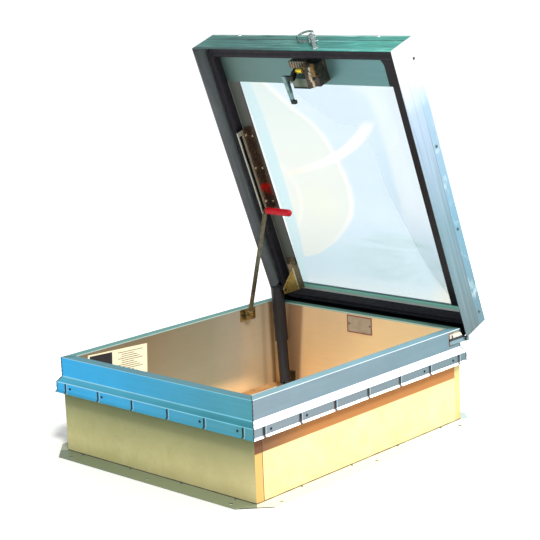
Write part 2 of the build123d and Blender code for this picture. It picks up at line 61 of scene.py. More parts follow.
# ---------------------------------------------------------------- node helper
class NB:
    def __init__(self, name):
        self.m = bpy.data.materials.new(name)
        self.m.use_nodes = True
        self.t = self.m.node_tree
        self.t.nodes.clear()
        self.out = self.t.nodes.new("ShaderNodeOutputMaterial")
        self.b = self.t.nodes.new("ShaderNodeBsdfPrincipled")
        self.t.links.new(self.b.outputs[0], self.out.inputs["Surface"])
        self.tc = self.t.nodes.new("ShaderNodeTexCoord")
        self.geo = None

    def put(self, sock, v):
        if isinstance(v, bpy.types.NodeSocket):
            self.t.links.new(v, sock)
        else:
            sock.default_value = v

    def set(self, name, v):
        self.put(self.b.inputs[name], v)

    def obj(self):
        return self.tc.outputs["Object"]

    def closed(self):
        """Object coordinates turned back to the cover's closed place."""
        n = self.t.nodes.new("ShaderNodeMapping")
        self.put(n.inputs["Vector"], self.obj())
        n.inputs["Location"].default_value = LOC_BACK
        n.inputs["Rotation"].default_value = (TH, 0, 0)
        return n.outputs[0]

    def mapping(self, v, scale=(1, 1, 1), loc=(0, 0, 0), rot=(0, 0, 0)):
        n = self.t.nodes.new("ShaderNodeMapping")
        self.put(n.inputs["Vector"], v)
        n.inputs["Scale"].default_value = scale
        n.inputs["Location"].default_value = loc
        n.inputs["Rotation"].default_value = rot
        return n.outputs[0]

    def noise(self, v, scale, detail=3.0, rough=0.5, dist=0.0, stretch=None):
        if stretch:
            v = self.mapping(v, stretch)
        n = self.t.nodes.new("ShaderNodeTexNoise")
        self.put(n.inputs["Vector"], v)
        n.inputs["Scale"].default_value = scale
        n.inputs["Detail"].default_value = detail
        n.inputs["Roughness"].default_value = rough
        n.inputs["Distortion"].default_value = dist
        return n.outputs["Fac"]

    def voronoi(self, v, scale, feature="F1"):
        n = self.t.nodes.new("ShaderNodeTexVoronoi")
        n.feature = feature
        self.put(n.inputs["Vector"], v)
        n.inputs["Scale"].default_value = scale
        return n.outputs["Distance"]

    def ramp(self, f, stops, interp="LINEAR"):
        n = self.t.nodes.new("ShaderNodeValToRGB")
        n.color_ramp.interpolation = interp
        e = n.color_ramp.elements
        while len(e) > 1:
            e.remove(e[-1])
        for i, (p, c) in enumerate(stops):
            if not isinstance(c, (tuple, list)):
                c = (c, c, c, 1)
            if len(c) == 3:
                c = (*c, 1)
            x = e[0] if i == 0 else e.new(p)
            x.position = p
            x.color = c
        self.put(n.inputs["Fac"], f)
        return n.outputs["Color"]

    def mix(self, f, a, b, mode="MIX"):
        n = self.t.nodes.new("ShaderNodeMix")
        n.data_type = "RGBA"
        n.blend_type = mode
        self.put(n.inputs["Factor"], f)
        self.put(n.inputs[6], a)
        self.put(n.inputs[7], b)
        return n.outputs[2]

    def math(self, op, a, b=None, clamp=False, c=None):
        n = self.t.nodes.new("ShaderNodeMath")
        n.operation = op
        n.use_clamp = clamp
        self.put(n.inputs[0], a)
        if b is not None:
            self.put(n.inputs[1], b)
        if c is not None:
            self.put(n.inputs[2], c)
        return n.outputs[0]

    def rng(self, v, a, b, c=0.0, d=1.0, smooth=False):
        n = self.t.nodes.new("ShaderNodeMapRange")
        if smooth:
            n.interpolation_type = "SMOOTHSTEP"
        n.clamp = True
        self.put(n.inputs["Value"], v)
        n.inputs["From Min"].default_value = a
        n.inputs["From Max"].default_value = b
        n.inputs["To Min"].default_value = c
        n.inputs["To Max"].default_value = d
        return n.outputs["Result"]

    def sep(self, v):
        n = self.t.nodes.new("ShaderNodeSeparateXYZ")
        self.put(n.inputs[0], v)
        return n.outputs[0], n.outputs[1], n.outputs[2]

    def normal(self):
        if self.geo is None:
            self.geo = self.t.nodes.new("ShaderNodeNewGeometry")
        return self.geo.outputs["Normal"]

    def bump(self, h, strength=0.2, dist=0.001, normal=None):
        n = self.t.nodes.new("ShaderNodeBump")
        n.inputs["Strength"].default_value = strength
        n.inputs["Distance"].default_value = dist
        self.put(n.inputs["Height"], h)
        if normal is not None:
            self.put(n.inputs["Normal"], normal)
        return n.outputs[0]

    def finish_bumps(self, sock):
        self.set("Normal", sock)

    def scale_col(self, col, f):
        """Colour times a grey factor socket."""
        return self.mix(1.0, col, f, "MULTIPLY")


def zstops(z0, z1, items):
    """Ramp stops from (z in mm, colour) pairs, sharp enough to hold thin bands."""
    return [((z - z0) / (z1 - z0), c) for z, c in items]


def metal_finish(nb, col, v, grain, rough=0.32, metallic=0.9, streak=0.16, blotch=0.12, bump=0.08, waves=0.25, wave_scale=5.0, scratch=0.0):
    """Rolled sheet: streaks along the rolling direction, soft blotches, faint oil-canning."""
    s1 = nb.noise(v, 6.0, 4.0, 0.6, 0.0, grain)
    s2 = nb.noise(v, 30.0, 3.0, 0.6, 0.0, grain)
    bl = nb.noise(v, 9.0, 3.0, 0.55)
    f = nb.math("ADD", nb.math("MULTIPLY", s1, streak), nb.math("MULTIPLY", s2, streak * 0.6))
    f = nb.math("ADD", f, nb.math("MULTIPLY", bl, blotch))
    f = nb.math("ADD", f, 1.0 - 0.8 * streak - 0.5 * blotch)
    c = nb.mix(1.0, col, _grey(nb, f), "MULTIPLY")
    nb.set("Base Color", c)
    nb.set("Metallic", metallic)
    r = nb.math("ADD", nb.math("MULTIPLY", s2, 0.14), rough - 0.07)
    r = nb.math("ADD", r, nb.math("MULTIPLY", bl, 0.08))
    nb.set("Roughness", r)
    h1 = nb.noise(v, wave_scale, 1.5, 0.4)
    b1 = nb.bump(h1, waves, 0.01)
    b2 = nb.bump(s2, bump, 0.0006, b1)
    nb.set("Normal", b2)
    return nb.m


def _grey(nb, f):
    n = nb.t.nodes.new("ShaderNodeCombineColor")
    nb.put(n.inputs[0], f)
    nb.put(n.inputs[1], f)
    nb.put(n.inputs[2], f)
    return n.outputs[0]


# ---------------------------------------------------------------- materials
# near white for the painted glare on the sunlit right flashing
WHITE = lin(242, 247, 252)


def flashing_mat(name, axis, lo_end, hi_end, lo, hi, metallic=0.55, lip=None):
    nb = NB(name)
    x, y, z = nb.sep(nb.obj())
    zf = nb.rng(z, 0.190, 0.306)
    cols = []
    for c in (lo_end, hi_end):
        # profile bands over z; hl, hl2 and hl3 are thin painted highlights along the bends
        it = [(190, c["flare"]), (199.4, c["flare"]), (200.4, c["lower"]), (225.2, c["lower"]), (226.2, c["hl3"]), (227.6, c["hl3"]),
              (228.6, c["ledge"]), (241.5, c["ledge2"]), (242.6, c["hl2"]), (244.8, c["hl2"]), (246.0, c["band"]),
              (302.6, c["band"]), (303.4, c["hl"]), (304.5, c["hl"]), (304.8, c["rim"]), (306, c["rim"])]
        cols.append(nb.ramp(zf, zstops(190, 306, it)))
    a = {"x": x, "y": y}[axis]
    f = nb.rng(a, lo, hi)
    w = nb.noise(nb.obj(), 3.5, 2.0, 0.5)
    f = nb.math("ADD", f, nb.math("MULTIPLY", nb.math("SUBTRACT", w, 0.5), 0.35), clamp=True)
    col = nb.mix(f, cols[0], cols[1])
    along, count = {"x": (x, 6), "y": (y, 7)}[axis]
    # pale line on one side of each tab slot: painted highlight on the slot's edge
    ph = nb.math("ADD", nb.math("DIVIDE", along, 0.1524), 0.5 * count)
    low = nb.rng(z, 0.2255, 0.2245)
    p = nb.math("ABSOLUTE", nb.math("SUBTRACT", nb.math("FRACT", nb.math("SUBTRACT", ph, 0.040 if axis == "x" else 0.056)), 0.5))
    col = nb.mix(nb.math("MULTIPLY", nb.math("MULTIPLY", nb.rng(p, 0.014, 0.010), low), 0.45), col, lin(190, 222, 234))
    p = nb.math("ABSOLUTE", nb.math("SUBTRACT", nb.math("FRACT", ph), 0.5))
    w = 0.030 if axis == "x" else 0.044
    col = nb.mix(nb.math("MULTIPLY", nb.math("MULTIPLY", nb.rng(p, w, w - 0.008), low), 0.9), col, lin(14, 34, 42))
    # pale line along the rim's inner edge: painted highlight
    if lip is not None:
        inner = nb.math("MULTIPLY", nb.rng(z, 0.3044, 0.3047), nb.rng(nb.math("ABSOLUTE", {"x": y, "y": x}[axis]), lip[1], lip[1] - 0.0008))
        col = nb.mix(inner, col, lip[0])
    grain = (0.6, 8, 30) if axis == "x" else (8, 0.6, 30)
    metal_finish(nb, col, nb.obj(), grain, rough=0.40, metallic=metallic, streak=0.26, blotch=0.24, waves=0.12)
    return nb.m


# colour sets per side and end: the sides differ by how light falls on them, so these are lit and shaded copies of one
# sheet, painted light and shade; SIDE_N and SIDE_F carry near-white painted glare
FRONT_L = dict(flare=lin(60, 165, 205), lower=lin(40, 168, 226), hl3=lin(175, 228, 250), ledge=lin(78, 178, 210), ledge2=lin(92, 186, 214), hl2=lin(150, 215, 240), band=lin(30, 168, 228), hl=lin(150, 215, 245), rim=lin(72, 130, 138))
FRONT_R = dict(flare=lin(80, 165, 185), lower=lin(74, 146, 158), hl3=lin(115, 198, 215), ledge=lin(60, 138, 152), ledge2=lin(70, 150, 162), hl2=lin(120, 200, 220), band=lin(76, 148, 160), hl=lin(132, 208, 226), rim=lin(88, 145, 155))
SIDE_N = dict(flare=WHITE, lower=lin(128, 140, 148), hl3=WHITE, ledge=WHITE, ledge2=WHITE, hl2=WHITE, band=lin(122, 142, 152), hl=WHITE, rim=lin(140, 190, 200))
SIDE_F = dict(flare=WHITE, lower=lin(94, 116, 122), hl3=WHITE, ledge=WHITE, ledge2=WHITE, hl2=WHITE, band=lin(96, 126, 136), hl=WHITE, rim=lin(120, 178, 196))
LEFT_C = dict(flare=lin(120, 170, 175), lower=lin(105, 150, 160), hl3=lin(190, 220, 225), ledge=lin(120, 160, 165), ledge2=lin(125, 165, 170), hl2=lin(180, 215, 220), band=lin(108, 152, 162), hl=lin(180, 218, 222), rim=lin(84, 148, 140))

REAR_C = dict(LEFT_C, rim=lin(58, 106, 92))

m_fl_front = flashing_mat("flashing_front_sheet", "x", FRONT_L, FRONT_R, -0.42, 0.42)
m_fl_right = flashing_mat("flashing_right_sheet", "y", SIDE_N, SIDE_F, -0.48, 0.48)
m_fl_left = flashing_mat("flashing_left_sheet", "y", LEFT_C, LEFT_C, -0.48, 0.48, lip=(lin(214, 226, 206), 0.3790))
m_fl_rear = flashing_mat("flashing_rear_sheet", "x", REAR_C, REAR_C, -0.42, 0.42, lip=(lin(196, 216, 186), 0.4585))


def wall_mat(name, axis, wall_items, flange_lo, flange_hi, lo, hi, rough=0.34, metallic=0.42, glow=None, grad=None, bars=()):
    """Inner liner over z, with the flange's own tone below 4 mm and dark hole walls painted as shade; glow, grad and
    bars paint light and shade on the liner.
    """
    nb = NB(name)
    x, y, z = nb.sep(nb.obj())
    a = {"x": x, "y": y}[axis]
    f = nb.rng(a, lo, hi)
    fl = nb.mix(f, flange_lo, flange_hi)
    nx, ny, nz = nb.sep(nb.normal())
    # walls of the bolt holes: steep faces inside the flange sheet, away from its rim, painted dark as shade in the
    # holes
    r = nb.math("ABSOLUTE", {"x": y, "y": x}[axis])
    edge = 0.5365 if axis == "x" else 0.4605
    hole = nb.math("MULTIPLY", nb.rng(nb.math("ABSOLUTE", nz), 0.5, 0.4), nb.rng(r, edge, edge - 0.002))
    fl = nb.mix(hole, fl, lin(70, 72, 60))
    wl = nb.ramp(nb.rng(z, 0.0, 0.305), [(zz / 305.0, c) for zz, c in wall_items])
    # bars: bands of painted shadow beside the tube, and a painted band of light next to it on the rear wall
    for x0, x1, slant, soft, c, amount in bars:
        e = nb.math("SUBTRACT", a, nb.math("MULTIPLY", z, slant))
        m = nb.math("MULTIPLY", nb.rng(e, x0 - soft, x0 + soft), nb.rng(e, x1 + soft, x1 - soft))
        wl = nb.mix(nb.math("MULTIPLY", m, amount), wl, c)
    # grad: painted shade, a brightness factor that darkens the liner towards one end
    if grad is not None:
        wl = nb.mix(1.0, wl, nb.ramp(nb.rng(a, lo, hi), [((q - lo) / (hi - lo), (*c, 1)) for q, c in grad]), "MULTIPLY")
    # glow: painted warm light pooled low on the wall
    if glow is not None:
        g = nb.math("MULTIPLY", nb.rng(z, glow[1], glow[2], smooth=True), nb.rng(a, 0.38, 0.27, 0.0, glow[3], smooth=True))
        wl = nb.mix(g, wl, glow[0])
    t = nb.rng(z, 0.0030, 0.0036)
    col = nb.mix(t, fl, wl)
    grain = (0.7, 6, 25) if axis == "x" else (6, 0.7, 25)
    metal_finish(nb, col, nb.obj(), grain, rough=rough, metallic=nb.math("MULTIPLY", t, metallic), streak=0.10, blotch=0.14, bump=0.03, waves=0.05, wave_scale=3.5)
    return nb.m


# the liner's warm tan and orange tones are painted reflection of warm light from below; the four walls are lit and
# shaded copies of one sheet, and the right flange is near white where light falls on it
m_wall_left = wall_mat("wall_left_sheet", "y", [(0, lin(222, 192, 146)), (60, lin(222, 192, 150)), (140, lin(222, 200, 166)), (305, lin(210, 190, 160))], lin(150, 160, 138), lin(170, 180, 160), -0.5, 0.5,
                       glow=(lin(255, 214, 158), 0.085, 0.02, 0.92),
                       grad=[(-0.15, (0.41, 0.40, 0.35)), (0.14, (0.44, 0.53, 0.57)), (0.26, (0.58, 0.68, 0.82)), (0.36, (0.98, 1.0, 1.0))],
                       bars=[(0.388, 0.408, 0.0, 0.006, lin(150, 116, 86), 0.30), (0.434, 0.46, 0.0, 0.006, lin(96, 76, 60), 0.55)])
m_wall_rear = wall_mat("wall_rear_sheet", "x", [(0, lin(255, 214, 146)), (90, lin(255, 220, 156)), (190, lin(255, 224, 166)), (305, lin(255, 226, 174))], lin(160, 175, 160), lin(170, 190, 190), -0.45, 0.45,
                       grad=[(-0.40, (0.84, 0.76, 0.82)), (-0.22, (0.88, 0.80, 0.84)), (-0.08, (0.88, 0.82, 0.88)), (0.10, (1.0, 0.96, 0.96)), (0.40, (1.0, 1.0, 1.0))],
                       bars=[(-0.335, -0.262, 0.10, 0.010, lin(150, 108, 74), 0.75), (-0.262, -0.254, 0.10, 0.003, lin(255, 226, 176), 0.6)])
m_wall_right = wall_mat("wall_right_sheet", "y", [(0, lin(240, 214, 176)), (305, lin(212, 200, 178))], lin(250, 242, 206), lin(226, 228, 208), -0.1, 0.5)
m_wall_front = wall_mat("wall_front_sheet", "x", [(0, lin(240, 214, 176)), (305, lin(206, 194, 172))], lin(104, 118, 96), lin(132, 142, 114), -0.45, 0.45)


def board_mat(name, base, spot, shade, end=None, painted_top_shadow=None, front_grad=None, joint=False):
    nb = NB(name)
    v = nb.obj()
    fine = nb.noise(v, 420.0, 4.0, 0.65)
    fib = nb.noise(v, 90.0, 4.0, 0.6, 0.4)
    mot = nb.noise(v, 16.0, 4.0, 0.6, 0.3)
    big = nb.noise(v, 3.2, 2.0, 0.5)
    col = nb.mix(nb.rng(mot, 0.35, 0.68), base, spot)
    col = nb.mix(nb.math("MULTIPLY", nb.rng(fine, 0.52, 0.70), 0.55), col, shade)
    col = nb.mix(nb.math("MULTIPLY", nb.rng(fib, 0.56, 0.74), 0.30), col, shade)
    x, y, z = nb.sep(v)
    # painted light: the front board lighter towards its right end
    if front_grad is not None:
        col = nb.mix(nb.math("MULTIPLY", nb.rng(x, -0.1, 0.42), 0.45), col, front_grad)
    # painted shadow under the flashing's overhang across the top of the board
    if painted_top_shadow is not None:
        tint, zlo, zhi, amount, dark = painted_top_shadow
        col = nb.mix(nb.math("MULTIPLY", nb.rng(z, zlo, zhi), amount), col, nb.mix(nb.rng(y, -0.45, -0.25), dark, tint))
    if joint:
        jl = nb.math("MULTIPLY", nb.rng(nb.math("ABSOLUTE", nb.math("ADD", y, 0.4530)), 0.0034, 0.0018), nb.rng(x, 0.40, 0.405))
        col = nb.mix(nb.math("MULTIPLY", jl, 0.9), col, lin(88, 56, 36))
    if end is not None:
        nx, ny, nz = nb.sep(nb.normal())
        # end faces darker at the top: painted shadow under the flashing
        ec = nb.mix(nb.rng(z, 0.1445, 0.1475), end, lin(116, 78, 54))
        col = nb.mix(nb.rng(nb.math("ABSOLUTE", nx), 0.6, 0.7), col, ec)
    f = nb.math("ADD", nb.math("MULTIPLY", big, 0.16), 0.92)
    nb.set("Base Color", nb.mix(1.0, col, _grey(nb, f), "MULTIPLY"))
    nb.set("Roughness", nb.rng(fine, 0.3, 0.7, 0.78, 0.95))
    nb.set("Specular IOR Level", 0.25)
    b = nb.bump(fine, 0.35, 0.0007)
    b = nb.bump(fib, 0.30, 0.0012, b)
    nb.set("Normal", b)
    return nb.m


# one fibreboard in lit and shaded copies: painted light gives the right board its pale tone, painted shade the front
# board its olive tone
m_board_front = board_mat("board_front", lin(202, 196, 142), lin(192, 186, 130), lin(158, 150, 100), end=lin(226, 174, 104),
                          painted_top_shadow=(lin(106, 118, 82), 0.050, 0.188, 0.92, lin(106, 118, 82)), front_grad=lin(216, 198, 146))
m_board_right = board_mat("board_right", lin(244, 226, 168), lin(238, 216, 150), lin(216, 182, 116),
                          painted_top_shadow=(lin(172, 112, 60), 0.1445, 0.1475, 0.96, lin(118, 82, 58)), joint=True)
m_board_rest = board_mat("board_rest", lin(214, 200, 140), lin(204, 188, 124), lin(170, 150, 90))


def cover_mat(name, col_of, grain, rough=0.34, metallic=0.88, streak=0.2, blotch=0.14, waves=0.15):
    nb = NB(name)
    v = nb.closed()
    col = col_of(nb, *nb.sep(v))
    metal_finish(nb, col, v, grain, rough=rough, metallic=metallic, streak=streak, blotch=blotch, waves=waves)
    return nb.m


def col_front(nb, x, y, z):
    v = nb.closed()
    # brushed streaks rising to near-white: grain with painted sheen
    st = nb.noise(v, 5.0, 5.0, 0.65, 0.6, (1.4, 1.0, 22))
    skirt = nb.ramp(st, [(0.30, lin(38, 110, 104)), (0.44, lin(76, 172, 158)), (0.58, lin(98, 204, 186)), (0.70, lin(196, 250, 240))])
    shade = nb.ramp(nb.rng(x, -0.42, 0.42), [(0.0, (0.50, 0.44, 0.47)), (0.26, (0.43, 0.37, 0.41)), (0.5, (0.54, 0.52, 0.54)), (0.74, (0.62, 0.80, 0.85)), (0.95, (0.98, 0.98, 1.0)), (1.0, (1.0, 1.0, 1.0))])
    skirt = nb.mix(1.0, skirt, shade, "MULTIPLY")
    # shaded lower rim towards the left
    skirt = nb.mix(nb.math("MULTIPLY", nb.math("MULTIPLY", nb.rng(z, 0.284, 0.272), nb.rng(x, 0.05, -0.25)), 0.7), skirt, lin(34, 50, 54))
    # painted highlight along the fold at the top
    skirt = nb.mix(nb.math("MULTIPLY", nb.math("MULTIPLY", nb.rng(z, 0.361, 0.366), nb.rng(st, 0.42, 0.60)), 0.7), skirt, lin(196, 240, 226))
    plate = nb.mix(nb.rng(x, -0.35, 0.40), lin(94, 120, 114), lin(104, 150, 154))
    # painted highlight along the plate's edge by the gasket
    plate = nb.mix(nb.math("MULTIPLY", nb.rng(y, -0.4375, -0.4395), 0.5), plate, lin(150, 182, 172))
    # painted shade: a near-black border on the right, rounded at the gasket corner, for the shade and the gasket's
    # reflection there
    cx = nb.math("MAXIMUM", nb.math("SUBTRACT", x, 0.275), 0.0)
    cy = nb.math("MAXIMUM", nb.math("SUBTRACT", -0.404, y), 0.0)
    d = nb.math("SQRT", nb.math("ADD", nb.math("MULTIPLY", cx, cx), nb.math("MULTIPLY", cy, cy)))
    plate = nb.mix(nb.rng(d, 0.0355, 0.0375), plate, lin(26, 22, 27))
    f = nb.math("MULTIPLY", nb.rng(z, 0.3368, 0.3374), nb.rng(z, 0.3409, 0.3406))
    return nb.mix(f, skirt, plate)


def col_left(nb, x, y, z):
    v = nb.closed()
    st = nb.noise(v, 6.0, 4.0, 0.6, 0.0, (18, 0.5, 18))
    skirt = nb.mix(nb.rng(z, 0.272, 0.332), lin(112, 114, 118), lin(132, 146, 150))
    skirt = nb.mix(nb.rng(st, 0.35, 0.65), skirt, nb.mix(nb.rng(z, 0.272, 0.332), lin(104, 106, 108), lin(158, 168, 166)))
    plate = nb.mix(nb.rng(x, -0.372, -0.330), lin(92, 98, 90), lin(86, 88, 82))
    # dark line by the glass edge: painted shade; pale line by the gasket: painted highlight
    plate = nb.mix(nb.rng(x, -0.3275, -0.3255), plate, lin(60, 56, 52))
    plate = nb.mix(nb.rng(x, -0.3745, -0.3765), plate, lin(136, 140, 132))
    return nb.mix(nb.rng(z, 0.3368, 0.3374), skirt, plate)


def col_right(nb, x, y, z):
    f = nb.rng(y, -0.49, 0.50)
    # near-white at the front end, darker towards the rear: painted highlight and shade
    face = nb.ramp(f, [(0.05, lin(246, 250, 254)), (0.22, lin(172, 192, 215)), (0.62, lin(104, 136, 148)), (1.0, lin(78, 98, 101))])
    v = nb.closed()
    st = nb.noise(v, 5.0, 5.0, 0.7, 0.3, (20, 0.45, 20))
    # pale and dark streaks: grain with painted sheen
    face = nb.mix(nb.math("MULTIPLY", nb.rng(st, 0.46, 0.70), nb.rng(f, 0.95, 0.3, 0.14, 0.34)), face, lin(178, 206, 212))
    face = nb.mix(nb.math("MULTIPLY", nb.rng(st, 0.46, 0.32), 0.35), face, lin(84, 108, 118))
    # painted shade: a darker band under the retaining frame's edge
    face = nb.mix(nb.math("MULTIPLY", nb.rng(z, 0.3375, 0.3395), nb.math("MULTIPLY", nb.rng(f, 0.12, 0.35), 0.75)), face, lin(86, 96, 104))
    # inner faces painted near-black: painted shade
    return nb.mix(nb.rng(x, 0.4143, 0.4139), face, lin(26, 22, 27))


def col_ret(nb, x, y, z):
    f = nb.rng(y, -0.49, 0.50)
    # near-white at the front end, darker towards the rear: painted highlight and shade
    col = nb.ramp(f, [(0.07, lin(249, 252, 255)), (0.22, lin(158, 188, 208)), (0.62, lin(108, 152, 172)), (1.0, lin(84, 118, 128))])
    # pale patches where the noise is high
    n = nb.noise(nb.closed(), 22.0, 3.0, 0.6, 0.4, (1, 0.5, 1))
    return nb.mix(nb.math("MULTIPLY", nb.rng(n, 0.54, 0.68), 0.5), col, lin(206, 226, 232))


def col_rear(nb, x, y, z):
    # plate strip: bright green up to a white line, then near-black by the gasket: painted light, a painted highlight
    # and painted shade
    plate = nb.ramp(nb.rng(y, 0.446, 0.474), [(0.0, lin(62, 84, 76)), (0.06, lin(70, 96, 86)), (0.10, lin(176, 255, 236)), (0.45, lin(178, 255, 232)), (0.60, lin(226, 255, 250)), (0.86, lin(255, 255, 255)), (0.92, lin(30, 40, 38)), (1.0, lin(20, 22, 24))])
    outer = nb.mix(nb.rng(x, -0.4, 0.4), lin(110, 142, 138), lin(122, 154, 152))
    # the skirt's inner faces are painted near-black: painted shade
    inner = nb.math("MULTIPLY", nb.rng(y, 0.5096, 0.5092), nb.rng(z, 0.3378, 0.3372))
    col = nb.mix(nb.rng(z, 0.3372, 0.3378), lin(24, 22, 27), plate)
    col = nb.mix(nb.rng(y, 0.5092, 0.5096), col, outer)
    return nb.mix(inner, col, lin(20, 19, 23))


def col_neutral(nb, x, y, z):
    return nb.mix(nb.rng(x, -0.4, 0.4), lin(150, 175, 182), lin(160, 186, 194))


# each cover side has its own colour map for how light falls on it: lit and shaded copies of one sheet, with painted
# light and shade
m_cv_front = cover_mat("cover_front_sheet", col_front, (0.7, 6, 22), metallic=0.55, waves=0.08)
m_ret_front = cover_mat("retainer_front_sheet", col_front, (0.7, 6, 22), metallic=0.55, waves=0.08)
m_cv_left = cover_mat("cover_left_sheet", col_left, (6, 0.7, 22), metallic=0.15, waves=0.05)
m_cv_right = cover_mat("cover_right_sheet", col_right, (6, 0.7, 22), metallic=0.5, waves=0.08)
m_cv_rear = cover_mat("cover_rear_sheet", col_rear, (0.7, 6, 22), metallic=0.15, waves=0.05)
m_ret_right = cover_mat("retainer_right_sheet", col_ret, (6, 0.7, 22), metallic=0.5, waves=0.08)
m_ret = cover_mat("retainer_sheet", col_neutral, (1.2, 1.2, 22))


def simple_metal(name, c1, c2, c3=None, scale=40.0, rough=0.35, metallic=0.95, speck=0.5, bump=0.15, tint=None):
    nb = NB(name)
    v = nb.obj()
    n1 = nb.noise(v, scale, 4.0, 0.6, 0.5)
    n2 = nb.noise(v, scale * 7, 3.0, 0.6)
    col = nb.mix(nb.rng(n1, 0.35, 0.65), c1, c2)
    if c3 is not None:
        col = nb.mix(nb.math("MULTIPLY", nb.rng(n2, 0.52, 0.70), speck), col, c3)
    if tint is not None:
        col = tint(nb, col)
    nb.set("Base Color", col)
    nb.set("Metallic", metallic)
    nb.set("Roughness", nb.rng(n2, 0.3, 0.7, rough - 0.08, rough + 0.10))
    b = nb.bump(n2, bump, 0.0004)
    b = nb.bump(n1, bump * 0.6, 0.0010, b)
    nb.set("Normal", b)
    return nb.m


def latch_tint(nb, col):
    """Grey-green lower box with a dark foot, brown case, lighter upright edges (painted highlights)."""
    x, y, z = nb.sep(nb.closed())
    n = nb.noise(nb.closed(), 34.0, 4.0, 0.65, 0.8)
    low = nb.math("MULTIPLY", nb.rng(y, -0.3815, -0.3795), nb.math("MULTIPLY", nb.rng(z, 0.2945, 0.2965), nb.rng(x, 0.0265, 0.0250)))
    col = nb.mix(low, col, nb.mix(nb.rng(nb.math("ABSOLUTE", nb.math("ADD", y, 0.3445)), 0.008, 0.004), lin(112, 122, 108), lin(40, 46, 42)))
    # painted highlight along the upright edges
    edge = nb.math("MULTIPLY", nb.rng(nb.math("ABSOLUTE", nb.math("SUBTRACT", x, 0.052)), 0.006, 0.003), nb.rng(z, 0.2915, 0.2895))
    col = nb.mix(nb.math("MULTIPLY", edge, 0.8), col, lin(206, 196, 170))
    st = nb.math("ABSOLUTE", nb.math("SUBTRACT", nb.math("FRACT", nb.math("MULTIPLY", x, 95.0)), 0.5))
    spring = nb.math("MULTIPLY", nb.rng(x, 0.022, 0.016), nb.math("MULTIPLY", nb.rng(st, 0.20, 0.34), nb.rng(y, -0.4075, -0.4095)))
    col = nb.mix(nb.math("MULTIPLY", spring, 0.45), col, lin(176, 170, 148))
    return nb.mix(nb.math("MULTIPLY", nb.rng(n, 0.56, 0.66), 0.5), col, lin(168, 122, 88))


def track_tint(nb, col):
    """Greenish-grey lower flange, light fold (a painted highlight), brown rest."""
    x, y, z = nb.sep(nb.closed())
    col = nb.mix(nb.rng(z, 0.3055, 0.3035), col, lin(132, 130, 116))
    # painted highlight along the fold
    col = nb.mix(nb.math("MULTIPLY", nb.rng(z, 0.2866, 0.2852), 0.8), col, lin(196, 196, 180))
    l1 = nb.rng(nb.math("ABSOLUTE", nb.math("SUBTRACT", z, 0.3085)), 0.0028, 0.0012)
    col = nb.mix(nb.math("MULTIPLY", l1, 0.75), col, lin(180, 150, 118))
    red = nb.math("MULTIPLY", nb.rng(nb.math("ABSOLUTE", nb.math("SUBTRACT", y, 0.066)), 0.026, 0.018), nb.rng(z, 0.309, 0.312))
    n = nb.noise(nb.closed(), 30.0, 3.0, 0.6)
    return nb.mix(nb.math("MULTIPLY", red, nb.rng(n, 0.38, 0.52)), col, lin(206, 52, 40))


def hinge_tint(nb, col):
    """Pale leaf with a dark outline on two sides (painted shade in the gap round it), sheet-coloured below it."""
    x, y, z = nb.sep(nb.obj())
    col = nb.mix(nb.rng(z, 0.2745, 0.2735), col, lin(104, 136, 146))
    # dark outline: painted shade in the gap round the leaf
    line = nb.rng(nb.math("ABSOLUTE", nb.math("SUBTRACT", z, 0.2765)), 0.0055, 0.0035)
    line = nb.math("MAXIMUM", line, nb.math("MULTIPLY", nb.rng(y, 0.4285, 0.4265), nb.rng(z, 0.2735, 0.2745)))
    notch = nb.math("MULTIPLY", nb.rng(nb.math("ABSOLUTE", nb.math("SUBTRACT", y, 0.441)), 0.0045, 0.0030), nb.rng(z, 0.292, 0.289))
    line = nb.math("MAXIMUM", line, nb.math("MULTIPLY", notch, nb.rng(z, 0.2735, 0.2745)))
    return nb.mix(line, col, lin(10, 10, 12))


def bracket_tint(nb, col):
    """Gold cheek, dark towards the plate, light rims (painted highlights)."""
    x, y, z = nb.sep(nb.closed())
    col = nb.mix(nb.math("MULTIPLY", nb.rng(z, 0.268, 0.276), 0.8), col, lin(84, 76, 66))
    # painted highlight along the rim
    edge = nb.rng(nb.math("ABSOLUTE", nb.math("SUBTRACT", z, 0.270)), 0.003, 0.0015)
    return nb.mix(nb.math("MULTIPLY", edge, 0.5), col, lin(236, 224, 190))


def lever_tint(nb, col):
    """Brass hub, dark link and curl, blade darker on one side (painted shade)."""
    x, y, z = nb.sep(nb.closed())
    # blade darker on one side: painted shade
    col = nb.mix(nb.rng(nb.math("ADD", nb.math("MULTIPLY", x, 1.0), nb.math("MULTIPLY", nb.math("ADD", y, 0.39), -0.10)), -0.0365, -0.0335), col, lin(64, 84, 82))
    col = nb.mix(nb.rng(y, -0.325, -0.319), col, lin(40, 44, 44))
    link = nb.rng(x, -0.0290, -0.0270)
    col = nb.mix(link, col, lin(44, 48, 42))
    return nb.mix(nb.rng(x, -0.0040, -0.0020), col, lin(246, 216, 70))


